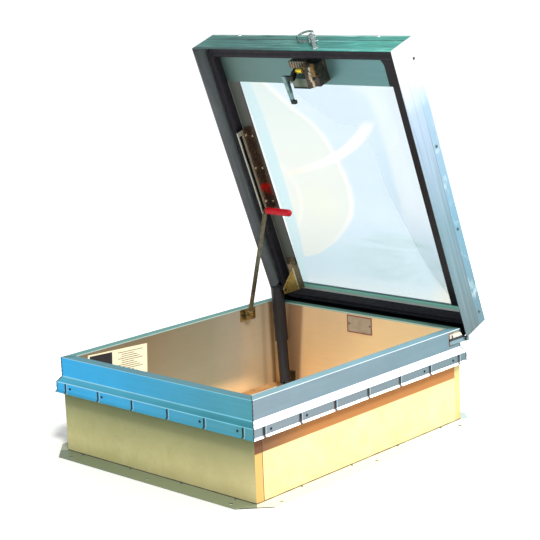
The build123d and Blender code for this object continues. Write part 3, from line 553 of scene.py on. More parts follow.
m_zinc = simple_metal("zinc_plate", lin(176, 166, 128), lin(140, 128, 92), lin(226, 214, 170), 45.0, 0.30)
m_zinc_dark = simple_metal("zinc_plate_brown", lin(134, 108, 78), lin(96, 76, 56), lin(196, 168, 112), 50.0, 0.32)
m_gold = simple_metal("yellow_zinc", lin(196, 154, 62), lin(150, 108, 40), lin(236, 212, 130), 55.0, 0.30)
m_dark = simple_metal("dark_plate", lin(70, 64, 56), lin(44, 38, 36), lin(150, 140, 116), 60.0, 0.34, 0.8, tint=latch_tint)
m_bolt_bright = simple_metal("bolt_bright", lin(226, 214, 180), lin(180, 156, 110), lin(252, 248, 236), 90.0, 0.24, 0.85)
m_arm = simple_metal("arm_plate", lin(126, 116, 92), lin(92, 86, 72), lin(176, 160, 116), 45.0, 0.32, 0.85)
m_track = simple_metal("track_plate", lin(104, 86, 72), lin(78, 62, 52), lin(178, 160, 130), 50.0, 0.32, 0.85, tint=track_tint)
m_hinge = simple_metal("hinge_plate", lin(206, 206, 194), lin(178, 178, 166), lin(236, 236, 230), 45.0, 0.36, 0.3, tint=hinge_tint)
m_eye = simple_metal("hinge_eye", lin(84, 66, 62), lin(52, 40, 40), lin(190, 180, 166), 60.0, 0.30, 0.7)
m_bar = simple_metal("bolt_bar", lin(120, 92, 54), lin(84, 64, 44), lin(214, 190, 110), 60.0, 0.28, 0.8)
m_bracket = simple_metal("bracket_plate", lin(176, 136, 66), lin(132, 100, 46), lin(236, 212, 140), 55.0, 0.30, 0.8, tint=bracket_tint)
m_darkgreen = simple_metal("latch_case", lin(70, 82, 66), lin(58, 64, 54), lin(104, 110, 90), 40.0, 0.36, 0.8)
m_brass = simple_metal("brass_bar", lin(240, 222, 96), lin(222, 190, 70), lin(255, 246, 180), 60.0, 0.24, 1.0)
m_cast = simple_metal("cast_lever", lin(128, 160, 158), lin(92, 124, 124), lin(196, 222, 218), 60.0, 0.30, 0.8, tint=lever_tint)
# handle and rose: noise patches from dark to near white stand for reflections in the bright metal: painted reflection
m_cast_dark = simple_metal("cast_staple", lin(150, 178, 172), lin(58, 92, 86), lin(240, 246, 246), 70.0, 0.22, 0.9, 0.9)
m_cast_bright = simple_metal("cast_grip", lin(196, 208, 206), lin(110, 132, 130), lin(250, 250, 250), 80.0, 0.20, 0.9, 0.9)
m_screw = simple_metal("screw_steel", lin(96, 104, 110), lin(64, 70, 76), lin(150, 158, 164), 90.0, 0.38)
m_rivet_dark = simple_metal("rivet_dark", lin(52, 62, 72), lin(34, 42, 50), lin(90, 100, 110), 90.0, 0.42)
m_rivet_white = simple_metal("rivet_bright", lin(232, 240, 240), lin(206, 218, 218), lin(250, 252, 252), 90.0, 0.30)


def coated(name, c1, c2, rough, coat=0.5, coat_rough=0.15, scale=70.0, bump=0.15, spec=0.5, metallic=0.0):
    nb = NB(name)
    v = nb.obj()
    n1 = nb.noise(v, scale, 4.0, 0.6, 0.3)
    n2 = nb.noise(v, scale * 9, 3.0, 0.6)
    nb.set("Base Color", nb.mix(nb.rng(n1, 0.35, 0.65), c1, c2))
    nb.set("Roughness", nb.rng(n2, 0.3, 0.7, rough - 0.06, rough + 0.10))
    nb.set("Metallic", metallic)
    nb.set("Coat Weight", coat)
    nb.set("Coat Roughness", coat_rough)
    nb.set("Specular IOR Level", spec)
    b = nb.bump(n2, bump, 0.0003)
    b = nb.bump(n1, bump, 0.0010, b)
    nb.set("Normal", b)
    return nb.m


m_black = coated("black_paint", lin(15, 14, 24), lin(10, 10, 17), 0.40, 0.15, 0.18)
m_rubber = coated("gasket_rubber", lin(40, 36, 44), lin(29, 26, 33), 0.60, 0.03, 0.4, 60.0, 0.2, 0.25)
m_red = coated("red_vinyl", lin(206, 6, 32), lin(176, 3, 24), 0.42, 0.10, 0.25, 50.0, 0.1, spec=0.25)
m_label = coated("label_paper", lin(250, 238, 206), lin(244, 230, 196), 0.7, 0.1, 0.3, 30.0, 0.05)
m_label_dark = coated("label_dark", lin(16, 16, 20), lin(24, 24, 28), 0.5, 0.2, 0.3, 30.0, 0.05)
m_label_line = coated("label_rule", lin(112, 106, 88), lin(96, 90, 74), 0.7, 0.0, 0.3, 30.0, 0.05)
m_plate = coated("plain_plate", lin(180, 162, 136), lin(160, 142, 116), 0.5, 0.2, 0.25, 30.0, 0.05)
m_plate_red = coated("plain_plate_field", lin(150, 88, 74), lin(128, 70, 60), 0.5, 0.2, 0.25, 40.0, 0.05)
m_sealant = coated("sealant", lin(84, 80, 64), lin(62, 60, 48), 0.7, 0.0, 0.3, 120.0, 0.5)
# pale green blob colour: painted highlight
m_corner_highlight = coated("corner_highlight_blob", lin(128, 158, 146), lin(86, 112, 102), 0.6, 0.1, 0.3, 60.0, 0.4)
m_bead = coated("liner_foot_bead", lin(206, 160, 104), lin(168, 124, 78), 0.7, 0.0, 0.3, 24.0, 0.4)
m_seam = coated("weld_seam", lin(64, 74, 80), lin(46, 54, 60), 0.5, 0.1, 0.3, 200.0, 0.6, metallic=0.5)


def glass_mat():
    """Clear acrylic: tinted see-through, with painted reflections in the tint, and a thin glossy and hazy share on top.
    """
    nb = NB("dome_acrylic")
    uv = nb.t.nodes.new("ShaderNodeUVMap")
    uv.uv_map = "flat"
    x, u, _ = nb.sep(uv.outputs[0])      # metres: x across, u up from the hinge

    def circle(cx, cu, r, ex=1.0):
        dx = nb.math("MULTIPLY", nb.math("SUBTRACT", x, cx), ex)
        du = nb.math("SUBTRACT", u, cu)
        return nb.math("SUBTRACT", nb.math("SQRT", nb.math("ADD", nb.math("MULTIPLY", dx, dx), nb.math("MULTIPLY", du, du))), r)

    wob = nb.noise(uv.outputs[0], 5.0, 3.0, 0.55)
    haze = nb.noise(uv.outputs[0], 3.0, 3.0, 0.6, 0.6)
    fine = nb.noise(uv.outputs[0], 7.0, 4.0, 0.6, 0.8, (0.5, 1.6, 1))
    T = nb.mix(nb.rng(haze, 0.35, 0.65), GL["base1"], GL["base2"])
    T = nb.mix(nb.math("MULTIPLY", nb.rng(u, 0.50, 0.72), 0.7), T, GL["top"])
    T = nb.mix(nb.math("MULTIPLY", nb.rng(x, 0.136, 0.152), nb.rng(u, 0.24, 0.38)), T, GL["right"])
    # low haze
    T = nb.mix(nb.math("MULTIPLY", nb.rng(u, 0.32, 0.16, smooth=True), 0.9), T, GL["low"])
    sm = nb.math("MULTIPLY", nb.math("MULTIPLY", nb.rng(u, 0.30, 0.24), nb.rng(u, 0.085, 0.13)), nb.rng(x, -0.14, 0.02))
    T = nb.mix(nb.math("MULTIPLY", sm, nb.rng(fine, 0.42, 0.60)), T, GL["smudge"])
    T = nb.mix(nb.math("MULTIPLY", nb.rng(u, 0.115, 0.080), 0.8), T, lin(228, 241, 243))
    corner = nb.math("MULTIPLY", nb.rng(x, 0.22, 0.30), nb.rng(u, 0.16, 0.09))
    T = nb.mix(nb.math("MULTIPLY", corner, 0.8), T, lin(243, 241, 228))
    # lens-shaped sheen on the left: its right boundary as x over u
    bx = nb.ramp(u, [(0.150, 0.0), (0.171, 0.148), (0.215, 0.226), (0.259, 0.271), (0.310, 0.312), (0.362, 0.331), (0.420, 0.335), (0.472, 0.330), (0.545, 0.313), (0.619, 0.288), (0.670, 0.256), (0.721, 0.211), (0.775, 0.180), (0.827, 0.154), (0.90, 0.10)])
    d1 = nb.math("SUBTRACT", nb.math("ADD", x, 0.400), bx)
    lens = nb.mix(nb.rng(u, 0.56, 0.80), lin(238, 243, 236), lin(228, 240, 236))
    yl = nb.math("MULTIPLY", nb.rng(circle(-0.205, 0.360, 0.02), 0.11, 0.0, smooth=True), 0.8)
    lens = nb.mix(yl, lens, lin(242, 245, 228))
    T = nb.mix(nb.rng(d1, 0.003, -0.006, 0.0, 0.9), T, lens)
    rim = nb.math("MULTIPLY", nb.rng(nb.math("ABSOLUTE", nb.math("ADD", d1, 0.004)), 0.018, 0.003), nb.rng(u, 0.20, 0.32, 0.2, 0.8))
    T = nb.mix(rim, T, lin(251, 251, 246))
    d1b = nb.math("ABSOLUTE", circle(-0.483, 0.401, 0.214))
    T = nb.mix(nb.math("MULTIPLY", nb.rng(d1b, 0.012, 0.001), 0.45), T, lin(252, 251, 240))
    # soft light ring at the upper right
    d2 = circle(0.097, 0.726, 0.086)
    ring = nb.math("MULTIPLY", nb.rng(nb.math("ABSOLUTE", d2), 0.016, 0.004), nb.math("MULTIPLY", nb.rng(x, 0.08, 0.13), nb.rng(u, 0.66, 0.69)))
    T = nb.mix(nb.math("MULTIPLY", ring, 0.55), T, lin(250, 253, 255))
    d2 = circle(0.115, 0.700, 0.118)
    ring = nb.math("MULTIPLY", nb.rng(nb.math("ABSOLUTE", d2), 0.007, 0.001), nb.rng(x, 0.12, 0.17))
    T = nb.mix(nb.math("MULTIPLY", ring, 0.35), T, lin(252, 254, 255))
    # pale blue strip beside the left edge
    T = nb.mix(nb.math("MULTIPLY", nb.rng(x, -0.3025, -0.3065), 0.95), T, GL["strip_col"])
    # curved white reflection band
    d3 = circle(-0.341, 1.085, 0.603)
    width = nb.rng(x, -0.30, 0.10, 0.009, 0.019)
    band = nb.math("MULTIPLY", nb.rng(nb.math("SUBTRACT", nb.math("ABSOLUTE", d3), width), 0.006, -0.004), nb.math("MULTIPLY", nb.rng(x, -0.312, -0.270), nb.rng(u, 0.690, 0.665)))
    T = nb.mix(nb.math("MULTIPLY", band, nb.rng(x, -0.30, -0.10, 0.55, 1.0)), T, nb.mix(nb.rng(x, -0.29, -0.16), lin(250, 240, 226), lin(255, 255, 252)))
    # the floor seen through the pane is brighter low down: a denser tint there
    T = nb.mix(1.0, T, nb.ramp(u, [(0.08, 0.60), (0.16, 0.635), (0.22, 0.70), (0.34, 0.83), (0.48, 0.94), (0.62, 1.0), (0.85, 1.0)]), "MULTIPLY")
    # painted highlight: a bright edge along the left side
    edge = nb.rng(x, -0.3365, -0.3395)
    T = nb.mix(edge, T, lin(255, 255, 255))
    # lamp-lit acrylic: a clear share tinted by T (the root, as two skins are crossed) and a surface share
    root = nb.t.nodes.new("ShaderNodeGamma")
    nb.put(root.inputs[0], T)
    root.inputs[1].default_value = 0.5
    tr = nb.t.nodes.new("ShaderNodeBsdfTransparent")
    nb.put(tr.inputs[0], root.outputs[0])
    nb.set("Base Color", nb.mix(edge, lin(236, 244, 248), lin(255, 255, 255)))
    nb.set("Roughness", nb.rng(wob, 0.3, 0.7, 0.05, 0.12))
    nb.set("IOR", 1.49)
    nb.set("Coat Weight", 0.3)
    nb.set("Coat Roughness", 0.03)
    nb.set("Normal", nb.bump(wob, 0.08, 0.004))
    mx = nb.t.nodes.new("ShaderNodeMixShader")
    fr = nb.t.nodes.new("ShaderNodeFresnel")
    fr.inputs[0].default_value = 1.3
    share = nb.math("ADD", nb.math("MULTIPLY", fr.outputs[0], 0.4), 0.02, clamp=True)
    nb.put(mx.inputs[0], share)
    nb.t.links.new(tr.outputs[0], mx.inputs[1])
    nb.t.links.new(nb.b.outputs[0], mx.inputs[2])
    nb.t.links.new(mx.outputs[0], nb.out.inputs["Surface"])
    return nb.m


GL = dict(base1=lin(222, 239, 251), base2=lin(218, 236, 251), top=lin(230, 244, 253), right=lin(238, 247, 253),
          low=lin(213, 235, 243), smudge=lin(200, 226, 228), strip_col=lin(211, 236, 241))
m_glass = glass_mat()


# ---------------------------------------------------------------- carried-over CAD nodes
def give(node, mat, bevel=0.0, segs=2, angle=34):
    o = N[node]
    o.data.materials.clear()
    o.data.materials.append(mat)
    if bevel:
        w = o.modifiers.new("weld", "WELD")
        w.merge_threshold = 0.00001
        b = o.modifiers.new("edge", "BEVEL")
        b.width = bevel
        b.segments = segs
        b.limit_method = "ANGLE"
        b.angle_limit = math.radians(angle)
        b.use_clamp_overlap = True


give("flashing_front", m_fl_front)
give("flashing_right", m_fl_right)
give("flashing_left", m_fl_left)
give("flashing_rear", m_fl_rear)
give("curb_wall_front", m_wall_front)
give("curb_wall_right", m_wall_right)
give("curb_wall_rear", m_wall_rear)
give("curb_wall_left", m_wall_left)
give("insulation_front", m_board_front)
give("insulation_right", m_board_right)
give("insulation_rear", m_board_rest)
give("insulation_left", m_board_rest)
give("cover_side_front", m_cv_front)
give("cover_side_left", m_cv_left)
give("cover_side_right", m_cv_right)
give("cover_side_rear", m_cv_rear)
give("retainer_right", m_ret_right)
give("retainer_front", m_ret_front)
for n in ("retainer_left", "retainer_rear"):
    give(n, m_ret)
for n in ("hinge_leaf_right", "hinge_leaf_left"):
    give(n, m_hinge)
for n in ("hinge_eye_right", "hinge_eye_left"):
    give(n, m_eye)
give("arm_bracket", m_zinc)
give("hold_open_arm", m_arm, 0.0008)
give("hold_open_track", m_track, 0.0006)
give("latch_keeper", m_zinc, 0.0005)
give("tube_foot_bracket", m_zinc, 0.0006)
give("tube_cover_bracket", m_bracket, 0.0006)
give("latch_housing", m_dark, 0.0008)
give("latch_bolt", m_bar, 0.0008)
give("inside_lever", m_cast, 0.0015)
give("outside_handle", m_cast_bright, 0.0015)
give("handle_rose", m_cast_dark, 0.0008)
give("spring_tube_lower", m_black)
give("spring_tube_upper", m_black)
give("arm_grip", m_red)
give("wall_label", m_label)
give("name_plate", m_plate, 0.0003)
for n in ("gasket_right", "gasket_left", "gasket_front", "gasket_rear"):
    give(n, m_rubber)
give("dome_glazing", m_glass)


# ---------------------------------------------------------------- mesh helpers
def make(name, bm, mat, body, M=None, smooth_deg=35.0):
    """bm is in millimetres, closed-cover coordinates when M is M_OPEN."""
    me = bpy.data.meshes.new(name)
    bmesh.ops.recalc_face_normals(bm, faces=bm.faces)
    bm.to_mesh(me)
    bm.free()
    me.transform(MM)
    if M is not None:
        me.transform(M)
    for p in me.polygons:
        p.use_smooth = True
    me.set_sharp_from_angle(angle=math.radians(smooth_deg))
    me.materials.append(mat)
    o = bpy.data.objects.new(name, me)
    bpy.context.scene.collection.objects.link(o)
    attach(o, body)
    return o


def add_ring_mesh(bm, rings, close_path=False, close_prof=True, cap=False):
    vs = [[bm.verts.new(p) for p in r] for r in rings]
    n, m = len(vs), len(vs[0])
    for i in range(n if close_path else n - 1):
        a, b = vs[i], vs[(i + 1) % n]
        for j in range(m if close_prof else m - 1):
            k = (j + 1) % m
            bm.faces.new((a[j], a[k], b[k], b[j]))
    if cap and not close_path:
        bm.faces.new(list(reversed(vs[0])))
        bm.faces.new(vs[-1])
    return vs


def axes_for(d):
    d = Vector(d).normalized()
    a = Vector((0, 0, 1)) if abs(d.z) < 0.9 else Vector((1, 0, 0))
    x = a.cross(d).normalized()
    return x, d.cross(x), d


def add_lathe(bm, c, d, prof, seg=20):
    """Revolve profile [(radius, height), ...] about direction d at c."""
    c = Vector(c)
    x, y, z = axes_for(d)
    rings = []
    for r, h in prof:
        if r < 1e-6:
            rings.append([bm.verts.new(c + z * h)])
        else:
            rings.append([bm.verts.new(c + z * h + (x * math.cos(2 * math.pi * i / seg) + y * math.sin(2 * math.pi * i / seg)) * r) for i in range(seg)])
    for a, b in zip(rings, rings[1:]):
        if len(a) == 1 and len(b) == 1:
            continue
        for i in range(seg):
            j = (i + 1) % seg
            if len(a) == 1:
                bm.faces.new((a[0], b[i], b[j]))
            elif len(b) == 1:
                bm.faces.new((a[i], a[j], b[0]))
            else:
                bm.faces.new((a[i], a[j], b[j], b[i]))
    if len(rings[0]) > 1:
        bm.faces.new(list(reversed(rings[0])))
    if len(rings[-1]) > 1:
        bm.faces.new(rings[-1])


def add_pan(bm, c, d, r, h, seg=16, recess=True):
    """Domed screw head with a cross recess."""
    c = Vector(c)
    x, y, z = axes_for(d)
    rings = []
    for rr, hh in ((r, -0.4), (r, 0.22 * h), (0.9 * r, 0.62 * h), (0.66 * r, 0.92 * h), (0.42 * r, h)):
        rings.append([bm.verts.new(c + z * hh + (x * math.cos(2 * math.pi * i / seg) + y * math.sin(2 * math.pi * i / seg)) * rr) for i in range(seg)])
    inner = []
    for i in range(seg):
        dep = 0.55 * h if (recess and i % (seg // 4) == 0) else h
        rr = 0.36 * r if dep < h else 0.14 * r
        inner.append(bm.verts.new(c + z * dep + (x * math.cos(2 * math.pi * i / seg) + y * math.sin(2 * math.pi * i / seg)) * rr))
    rings.append(inner)
    for a, b in zip(rings, rings[1:]):
        for i in range(seg):
            j = (i + 1) % seg
            bm.faces.new((a[i], a[j], b[j], b[i]))
    top = bm.verts.new(c + z * (0.45 * h if recess else h))
    for i in range(seg):
        bm.faces.new((inner[i], inner[(i + 1) % seg], top))
    bm.faces.new(list(reversed(rings[0])))


def add_hex(bm, c, d, r, h, turn=0.0):
    c = Vector(c)
    x, y, z = axes_for(d)

    def ring(rr, hh, seg=12):
        out = []
        for i in range(seg):
            a = 2 * math.pi * i / seg + turn
            k = math.cos(math.pi / 6) / math.cos(((a - turn) % (math.pi / 3)) - math.pi / 6)
            out.append(bm.verts.new(c + z * hh + (x * math.cos(a) + y * math.sin(a)) * rr * k))
        return out
    rings = [ring(r, -0.3), ring(r, h * 0.82), ring(r * 0.86, h)]
    for a, b in zip(rings, rings[1:]):
        for i in range(12):
            j = (i + 1) % 12
            bm.faces.new((a[i], a[j], b[j], b[i]))
    bm.faces.new(rings[-1])
    bm.faces.new(list(reversed(rings[0])))


def add_box(bm, x0, x1, y0, y1, z0, z1, ch=0.0, M=None):
    """Box with chamfered edges."""
    b2 = bmesh.new()
    bmesh.ops.create_cube(b2, size=1.0)
    bmesh.ops.transform(b2, matrix=Matrix.Translation(((x0 + x1) / 2, (y0 + y1) / 2, (z0 + z1) / 2)) @ Matrix.Diagonal((x1 - x0, y1 - y0, z1 - z0, 1)), verts=b2.verts)
    if ch:
        bmesh.ops.bevel(b2, geom=b2.edges[:], offset=ch, segments=2, profile=0.6, affect="EDGES")
    if M is not None:
        bmesh.ops.transform(b2, matrix=M, verts=b2.verts)
    merge(bm, b2)


def merge(bm, b2):
    me = bpy.data.meshes.new("tmp")
    b2.to_mesh(me)
    b2.free()
    bm.from_mesh(me)
    bpy.data.meshes.remove(me)


def add_tube(bm, pts, r, seg=12, cap=True, radii=None, flat=1.0):
    """Round bar along points, with smooth frames."""
    pts = [Vector(p) for p in pts]
    n = len(pts)
    tang = []
    for i in range(n):
        a, b = pts[max(0, i - 1)], pts[min(n - 1, i + 1)]
        tang.append((b - a).normalized())
    x, y, _ = axes_for(tang[0])
    rings = []
    for i in range(n):
        t = tang[i]
        x = (x - t * x.dot(t)).normalized()
        y = t.cross(x)
        rr = radii[i] if radii else r
        rings.append([pts[i] + (x * math.cos(2 * math.pi * k / seg) + y * math.sin(2 * math.pi * k / seg) * flat) * rr for k in range(seg)])
    add_ring_mesh(bm, rings, cap=cap)


def curve_pts(ctrl, n=24):
    """Catmull-Rom through the control points."""
    c = [Vector(p) for p in ctrl]
    c = [c[0] * 2 - c[1]] + c + [c[-1] * 2 - c[-2]]
    out = []
    per = max(2, n // (len(c) - 3))
    for i in range(1, len(c) - 2):
        for k in range(per):
            t = k / per
            p0, p1, p2, p3 = c[i - 1], c[i], c[i + 1], c[i + 2]
            out.append(0.5 * ((2 * p1) + (p2 - p0) * t + (2 * p0 - 5 * p1 + 4 * p2 - p3) * t * t + (3 * p1 - p0 - 3 * p2 + p3) * t ** 3))
    out.append(c[-2])
    return out


def rounded_rect(hx, y0, y1, r, per=8):
    """Points and outward normals round a rounded rectangle, x within hx."""
    out = []
    for cx, cy, a0 in ((hx - r, y1 - r, 0), (-hx + r, y1 - r, 90), (-hx + r, y0 + r, 180), (hx - r, y0 + r, 270)):
        for k in range(per + 1):
            a = math.radians(a0 + 90.0 * k / per)
            out.append((Vector((cx + r * math.cos(a), cy + r * math.sin(a), 0)), Vector((math.cos(a), math.sin(a), 0))))
    # extra points along the straights
    full = []
    m = len(out)
    for i in range(m):
        p, nn = out[i]
        q, nq = out[(i + 1) % m]
        full.append((p, nn))
        if (q - p).length > 60:
            for k in range(1, 12):
                t = k / 12
                full.append((p.lerp(q, t), nn))
    return full


# ---------------------------------------------------------------- gasket ring
bm = bmesh.new()
prof = [(0.0, 338.0), (0.0, 330), (0.0, 315), (0.04, 309.0), (0.14, 306.4), (0.30, 305.8), (0.44, 307.6), (0.5, 308.4), (0.56, 307.6), (0.70, 305.8),
        (0.86, 306.4), (0.96, 309.0), (1.0, 315), (1.0, 330), (1.0, 338.0)]
inner = rounded_rect(379, -442, 470, 12, 8)
outer = rounded_rect(405, -481, 497, 40, 8)
rings = []
for (p, _), (q, _) in zip(inner, outer):
    rings.append([p.lerp(q, t) + Vector((0, 0, z)) for t, z in prof])
add_ring_mesh(bm, rings, close_path=True)
gasket = make("gasket_ring", bm, m_rubber, "cover", M_OPEN, 50)
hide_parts("gasket_right", "gasket_left", "gasket_front", "gasket_rear")

# ---------------------------------------------------------------- dome
DX, DF, DR, RISE, Z0 = 366.0, -443.5, 460.5, 95.0, 344.5
ym, hyd = (DF + DR) / 2, (DR - DF) / 2


def dome_z(x, y, rise=RISE):
    a, b = min(1.0, abs(x) / DX), min(1.0, abs(y - ym) / hyd)
    fa, fb = 1 - a ** 3, 1 - b ** 3
    v = fa * fb
    k = 0.035
    return Z0 + rise * (v * v / (v + k)) * (1 + k)


def dome_shell():
    xs = [-410, -388, -374] + [DX * i / 26.0 for i in range(-26, 27)] + [374, 388, 410]
    ys = [-487.5, -465, -452] + [ym + hyd * i / 32.0 for i in range(-32, 33)] + [468, 482, 504.5]
    b = bmesh.new()
    uvl = b.loops.layers.uv.new("flat")
    tops = [[b.verts.new((x, y, dome_z(x, y))) for x in xs] for y in ys]
    lows = [[b.verts.new((x, y, dome_z(x, y, RISE - 1.5) - 3.4 - 0.6 * min(1, (dome_z(x, y) - Z0) / 20))) for x in xs] for y in ys]
    ny, nx = len(ys), len(xs)
    for j in range(ny - 1):
        for i in range(nx - 1):
            b.faces.new((tops[j][i], tops[j][i + 1], tops[j + 1][i + 1], tops[j + 1][i]))
            b.faces.new((lows[j][i], lows[j + 1][i], lows[j + 1][i + 1], lows[j][i + 1]))
    for j in range(ny - 1):
        b.faces.new((tops[j][0], tops[j + 1][0], lows[j + 1][0], lows[j][0]))
        b.faces.new((tops[j + 1][-1], tops[j][-1], lows[j][-1], lows[j + 1][-1]))
    for i in range(nx - 1):
        b.faces.new((tops[0][i + 1], tops[0][i], lows[0][i], lows[0][i + 1]))
        b.faces.new((tops[-1][i], tops[-1][i + 1], lows[-1][i + 1], lows[-1][i]))
    for f in b.faces:
        for l in f.loops:
            l[uvl].uv = (l.vert.co.x * 0.001, (515.2 - l.vert.co.y) * 0.001)
    return b


dome = make("dome_shell", dome_shell(), m_glass, "cover", M_OPEN, 40)
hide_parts("dome_glazing")

# ---------------------------------------------------------------- screws and rivets
# blobs in the cover's front corners, coloured as the pale green highlight there: painted highlight
for k, sx in enumerate((-1, 1)):
    bm = bmesh.new()
    path = [Vector((sx * 412.5, -462, 336)), Vector((sx * 412.0, -470, 328)), Vector((sx * 411.5, -478, 320)), Vector((sx * 411.0, -485, 312.5))]
    add_tube(bm, curve_pts(path, 5), 1.0, 8, radii=[0.9 + 1.6 * math.sin(math.pi * (i + 0.5) / 16.0) + 0.5 * mnoise.noise(Vector((i * 0.7, sx, 0))) for i in range(len(curve_pts(path, 5)))])
    make("corner_sealant_%d" % (k + 1), bm, m_corner_highlight, "cover", M_OPEN, 60)

bm = bmesh.new()
for u in (46, 356, 649, 944):
    for s in (-1, 1):
        add_pan(bm, (s * 416.5, 515.2 - u, 355.7), (s, 0, 0), 5.6, 2.4)
make("retainer_screws", bm, m_screw, "cover", M_OPEN, 40)
bm = bmesh.new()
for x in (-288, 292):
    add_pan(bm, (x, -494.0, 367), (0, -1, 0), 6.2, 2.6, recess=False)
    add_pan(bm, (x, 511.0, 367), (0, 1, 0), 6.2, 2.6, recess=False)
make("retainer_rivets", bm, m_rivet_white, "cover", M_OPEN, 40)

bm = bmesh.new()
for x in (-360, -211, 211, 360):
    add_pan(bm, (x, -498.5, 212), (0, -1, 0), 4.2, 2.0, recess=False)
    add_pan(bm, (x, 498.5, 212), (0, 1, 0), 4.2, 2.0, recess=False)
for y in (-428, -277, 277, 428):
    add_pan(bm, (422.5, y, 212), (1, 0, 0), 4.2, 2.0, recess=False)
    add_pan(bm, (-422.5, y, 212), (-1, 0, 0), 4.2, 2.0, recess=False)
make("flashing_rivets", bm, m_rivet_dark, "curb", None, 40)

bm = bmesh.new()
for y in (-300, -75, 146, 368):
    add_pan(bm, (413.5, y, 2.5), (0, 0, 1), 3.4, 1.6, recess=False)
    add_pan(bm, (-413.5, y, 2.5), (0, 0, 1), 3.4, 1.6, recess=False)
for x in (-330, -110, 110, 330):
    add_pan(bm, (x, -489.5, 2.5), (0, 0, 1), 3.4, 1.6, recess=False)
    add_pan(bm, (x, 489.5, 2.5), (0, 0, 1), 3.4, 1.6, recess=False)
make("flange_pins", bm, m_screw, "curb", None, 40)

# weld seams at the flashing corners, following its profile
sect = [(409, 304.6), (409, 244), (422.5, 227), (422.5, 200), (427, 194.5)]
for k, (sx, sy) in enumerate(((1, -1), (-1, -1), (1, 1), (-1, 1))):
    bm = bmesh.new()
    path = [Vector((sx * p, sy * (p + 76), z)) for p, z in sect]
    fine = []
    for a, b in zip(path, path[1:]):
        m = max(2, int((b - a).length / 4))
        fine += [a.lerp(b, i / m) for i in range(m)]
    fine.append(path[-1])
    rad = [1.5 + 0.45 * math.sin(i * 1.9) + 0.3 * mnoise.noise(p * 0.11) for i, p in enumerate(fine)]
    add_tube(bm, fine, 1.0, 8, radii=rad)
    path = [Vector((sx * (376 + 33 * i / 12), sy * (452 + 33 * i / 12), 305.0)) for i in range(13)]
    add_tube(bm, path, 1.0, 8, radii=[0.7 + 0.15 * math.sin(i * 2.3) for i in range(13)], flat=1.0)
    make("corner_weld_%d" % (k + 1), bm, m_seam, "curb", None, 60)

# sealant along the foot of the boards
bm = bmesh.new()
loop = []
for a, b in (((407, -483), (407, 483)), ((407, 483), (-407, 483)), ((-407, 483), (-407, -483)), ((-407, -483), (407, -483))):
    A, B = Vector((*a, 0)), Vector((*b, 0))
    m = int((B - A).length / 9)
    loop += [A.lerp(B, i / m) for i in range(m)]
rings = []
for i, p in enumerate(loop):
    q = loop[(i + 1) % len(loop)]
    t = (q - p).normalized()
    nn = Vector((t.y, -t.x, 0))
    w = 1.5 + 0.7 * mnoise.noise(Vector((p.x * 0.03, p.y * 0.03, 1.7)))
    rings.append([p + nn * -0.5 + Vector((0, 0, 2.4)), p + nn * (w + 0.8) + Vector((0, 0, 2.45)), p + nn * (w * 0.55) + Vector((0, 0, 3.2 + w * 0.4)), p + nn * -0.5 + Vector((0, 0, 4.0 + w))])
add_ring_mesh(bm, rings, close_path=True)
make("foot_sealant", bm, m_sealant, "curb", None, 60)

# darker bead along the inner foot of the liner
bm = bmesh.new()
loop = [p for p, _ in rounded_rect(376.0, -450.0, 450.0, 6.0, 6)]
fine = []
for i, a in enumerate(loop):
    b = loop[(i + 1) % len(loop)]
    m = max(1, int((b - a).length / 14))
    fine += [a.lerp(b, k / m) for k in range(m)]
rings = []
for i, p in enumerate(fine):
    # mitred inward offset of the rectangle
    q = Vector((p.x * (376.0 - 25.0) / 376.0, p.y * (450.0 - 25.0) / 450.0, 0))
    w = 1.0 + 0.08 * mnoise.noise(Vector((p.x * 0.016, p.y * 0.016, 4.3)))
    rings.append([p.lerp(q, t * (w if t > 0.1 else 1.0)) + Vector((0, 0, z)) for t, z in ((-0.01, 0.2), (1.0, 0.2), (0.93, 2.0), (0.6, 4.4), (0.25, 6.8), (-0.01, 9.0))])
add_ring_mesh(bm, rings, close_path=True)
make("inner_foot_bead", bm, m_bead, "curb", None, 60)

# ---------------------------------------------------------------- fittings
# label: dark block at one end and plain rules at the other, following its tilt
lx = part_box("wall_label")[1].x * 1000
tl, bl, br, tr = Vector((0, -406, 296)), Vector((0, -411, 201)), Vector((0, -161, 188)), Vector((0, -155.6, 282.5))


def on_label(a, b):
    return tl.lerp(tr, a).lerp(bl.lerp(br, a), b)


def label_patch(bm, a0, a1, b0, b1, h, cuts=6):
    rings = []
    for i in range(cuts + 1):
        a = a0 + (a1 - a0) * i / cuts
        p, q = on_label(a, b0), on_label(a, b1)
        k = 0.06 if i in (0, cuts) else 0.0
        m, n = p.lerp(q, 0.06 + k), p.lerp(q, 0.94 - k)
        rings.append([Vector((lx - 0.05, p.y, p.z)), Vector((lx + h * 0.7, p.y, p.z)), Vector((lx + h, m.y, m.z)), Vector((lx + h, n.y, n.z)), Vector((lx + h * 0.7, q.y, q.z)), Vector((lx - 0.05, q.y, q.z))])
    add_ring_mesh(bm, rings, cap=True)


bm = bmesh.new()
label_patch(bm, 0.03, 0.40, 0.05, 0.94, 0.14)
make("label_block", bm, m_label_dark, "curb", None, 30)
bm = bmesh.new()
for i in range(11):
    label_patch(bm, 0.56 if i % 3 else 0.50, 0.92 - 0.05 * ((i * 7) % 4), 0.12 + 0.072 * i, 0.12 + 0.072 * i + 0.022, 0.10)
make("label_rules", bm, m_label_line, "curb", None, 30)
